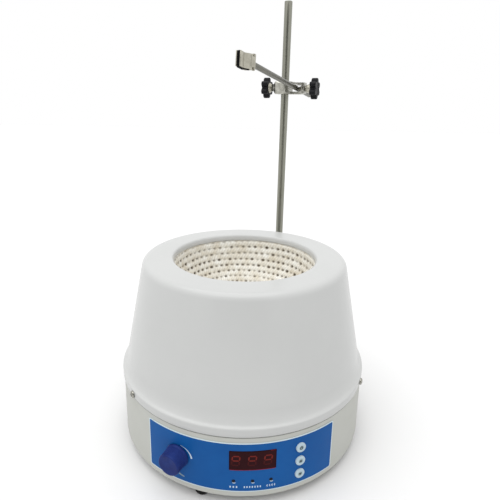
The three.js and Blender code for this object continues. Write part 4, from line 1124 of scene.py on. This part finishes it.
def make_switch():
    place, slot = rear_at(SWITCH_X), "black_plastic"
    flange = prism(rounded(16, 23, 1.5), 0.3, 2.3)
    surround = add_object("switch_surround", flange, place, "plastic", "mantle", node="switch_frame")
    carve(surround, box(-6.6, 6.6, -10, 10, -14, 1), operation="UNION")
    carve(surround, box(-5.2, 5.2, -8.6, 8.6, -9, 5))
    bevel(surround, 0.4, 2, 40)

    pivot_depth, hub_r, rest_tilt = 1.4, 4, radians(-9)
    side = [(-7.6, 2.6), (-6.9, 2.75), (0, 1.2), (6.9, 2.75), (7.6, 2.6), (7.2, -1.2)]
    side += [(hub_r * cos(a), -1.6 + hub_r * sin(a)) for a in np.radians(range(0, -181, -12))]
    side += [(-7.2, -1.2)]
    tilted = place @ Matrix.Translation((0, 0, pivot_depth * MM)) @ Matrix.Rotation(rest_tilt, 4, "X")
    part = turned_to(prism(side, -4.8, 4.8), TURN_X)
    rocker = add_object("switch_rocker", part, tilted, "plastic", "rocker", node="power_rocker")
    bevel(rocker, 0.35, 2, 40)
    on_mark = box(-0.3, 0.3, 3.4, 5.8, 1.95, 2.2)
    ring = shifted(lathe([(1.0, 2.0), (1.45, 2.0), (1.45, 2.25), (1.0, 2.25), (1.0, 2.0)], 28), 0, -4.6, 0)
    add_object("rocker_marks", together(on_mark, ring), tilted, "ink", "rocker")


def make_fuse():
    place, slot = rear_at(FUSE_X), "black_plastic"
    tube = [(0, -24), (6, -24), (6, 0.3), (7.4, 0.3), (7.6, 0.6)]
    tube += [(7.6, 1.5), (7.2, 1.8), (4.4, 1.8), (4.4, -20), (0, -20)]
    add_object("fuse_tube", lathe(tube, 48), place, "plastic", "mantle", node="fuse_holder")
    cap = [(0, -18), (3.2, -18), (3.2, 2.1), (6.5, 2.1), (6.6, 2.4), (6.3, 6.3), (5.7, 7), (0, 7)]
    ridges, ridge_depth = 24, 0.03
    verts, faces = lathe(cap, 120)
    ridged = []
    for x, y, z in verts:
        if hypot(x, y) > 6.0 and z > 2.2:
            k = 1 - ridge_depth * (0.5 + 0.5 * cos(ridges * atan2(y, x)))
            x, y = x * k, y * k
        ridged.append((x, y, z))
    lid = add_object("fuse_lid", (ridged, faces), place, "plastic", "fuse_carrier", node="fuse_cap")
    carve(lid, box(-4.6, 4.6, -0.7, 0.7, 5.8, 9))


def make_socket():
    place, contact_circle = rear_at(SOCKET_X), 2.6
    shell = [(0, -12), (6.6, -12), (6.6, 0.3), (8.1, 0.3), (8.2, 0.6), (8.2, 1.8), (7.9, 2.1), (6.5, 2.3)]
    shell += [(6.4, 4.7), (6.1, 5), (5, 5), (5, 1.5), (0, 1.5)]
    add_object("socket_shell", lathe(shell, 56), place, "nickel", "mantle", node="sensor_socket")
    insert = lathe([(0, 1.45), (4.9, 1.45), (4.9, 2.0), (0, 2.0)], 40)
    add_object("socket_insert", insert, place, "plastic", "mantle")
    contact = lathe([(0, 1.4), (0.55, 1.4), (0.55, 3.9), (0.3, 4.3), (0, 4.3)], 16)
    angles = [radians(a) for a in (45, 135, 225, 315)]
    contacts = [shifted(contact, contact_circle * cos(a), contact_circle * sin(a), 0) for a in angles]
    add_object("socket_contacts", together(*contacts), place, "nickel", "mantle")


# ---------- pieces that keep their CAD shape ----------
CAD_FINISHES = {
    "base": ["bottom_plate"],
    "display": ["display_module"],
    "board": ["display_board", "power_board"],
    "aluminium": ["potentiometer_body", "inner_cup", "magnet_carrier", "triac_heatsink"],
    "steel": [
        "potentiometer_shaft", "heating_coil", "cup_stand", "motor_bracket", "bracket_screw_1", "bracket_screw_2"
    ],
    "wool": ["insulation"],
    "iron": ["stir_motor", "transformer"],
    "magnet": ["stir_magnet"],
}


def dress_cad():
    for finish, names in CAD_FINISHES.items():
        for name in names:
            for material_slot in NODES[name].material_slots:
                material_slot.material = MATERIALS[finish]


make_camera()
make_stage()
make_base()
make_upper_shell()
make_feet()
make_shell_screws()
make_panel()
make_window()
make_figures()
make_buttons()
make_lamps()
make_marks()
painted_lamp_highlights()
make_knob()
make_well()
make_rod()
make_boss()
TOWARDS_RIGHT = basis(BOSS_Y, (0, 0, 1), BOSS_X, (ROD.x, ROD.y, BOSS_Z - ARM_CLAMP_DROP * MM))
TOWARDS_LEFT = basis(-BOSS_Y, (0, 0, 1), -BOSS_X, (ROD.x, ROD.y, BOSS_Z))
make_screw("rod_clamp", TOWARDS_LEFT, 5.3, 21.8, 3, "rod_clamp_screw")
make_screw("arm_clamp", TOWARDS_RIGHT, 20.3, 36.4, 7, "arm_clamp_screw")
make_screw("rod_lock", wall(ROD_AZIMUTH, ROD_LOCK_Z), 168.3, 181, 3, "rod_lock_screw")
make_arm()
make_long_jaw(tip=15.6, y=-3.9)
make_short_jaw()
make_pin()
make_bracket()
make_rear_tray()
make_inlet()
make_switch()
make_fuse()
make_socket()
dress_cad()
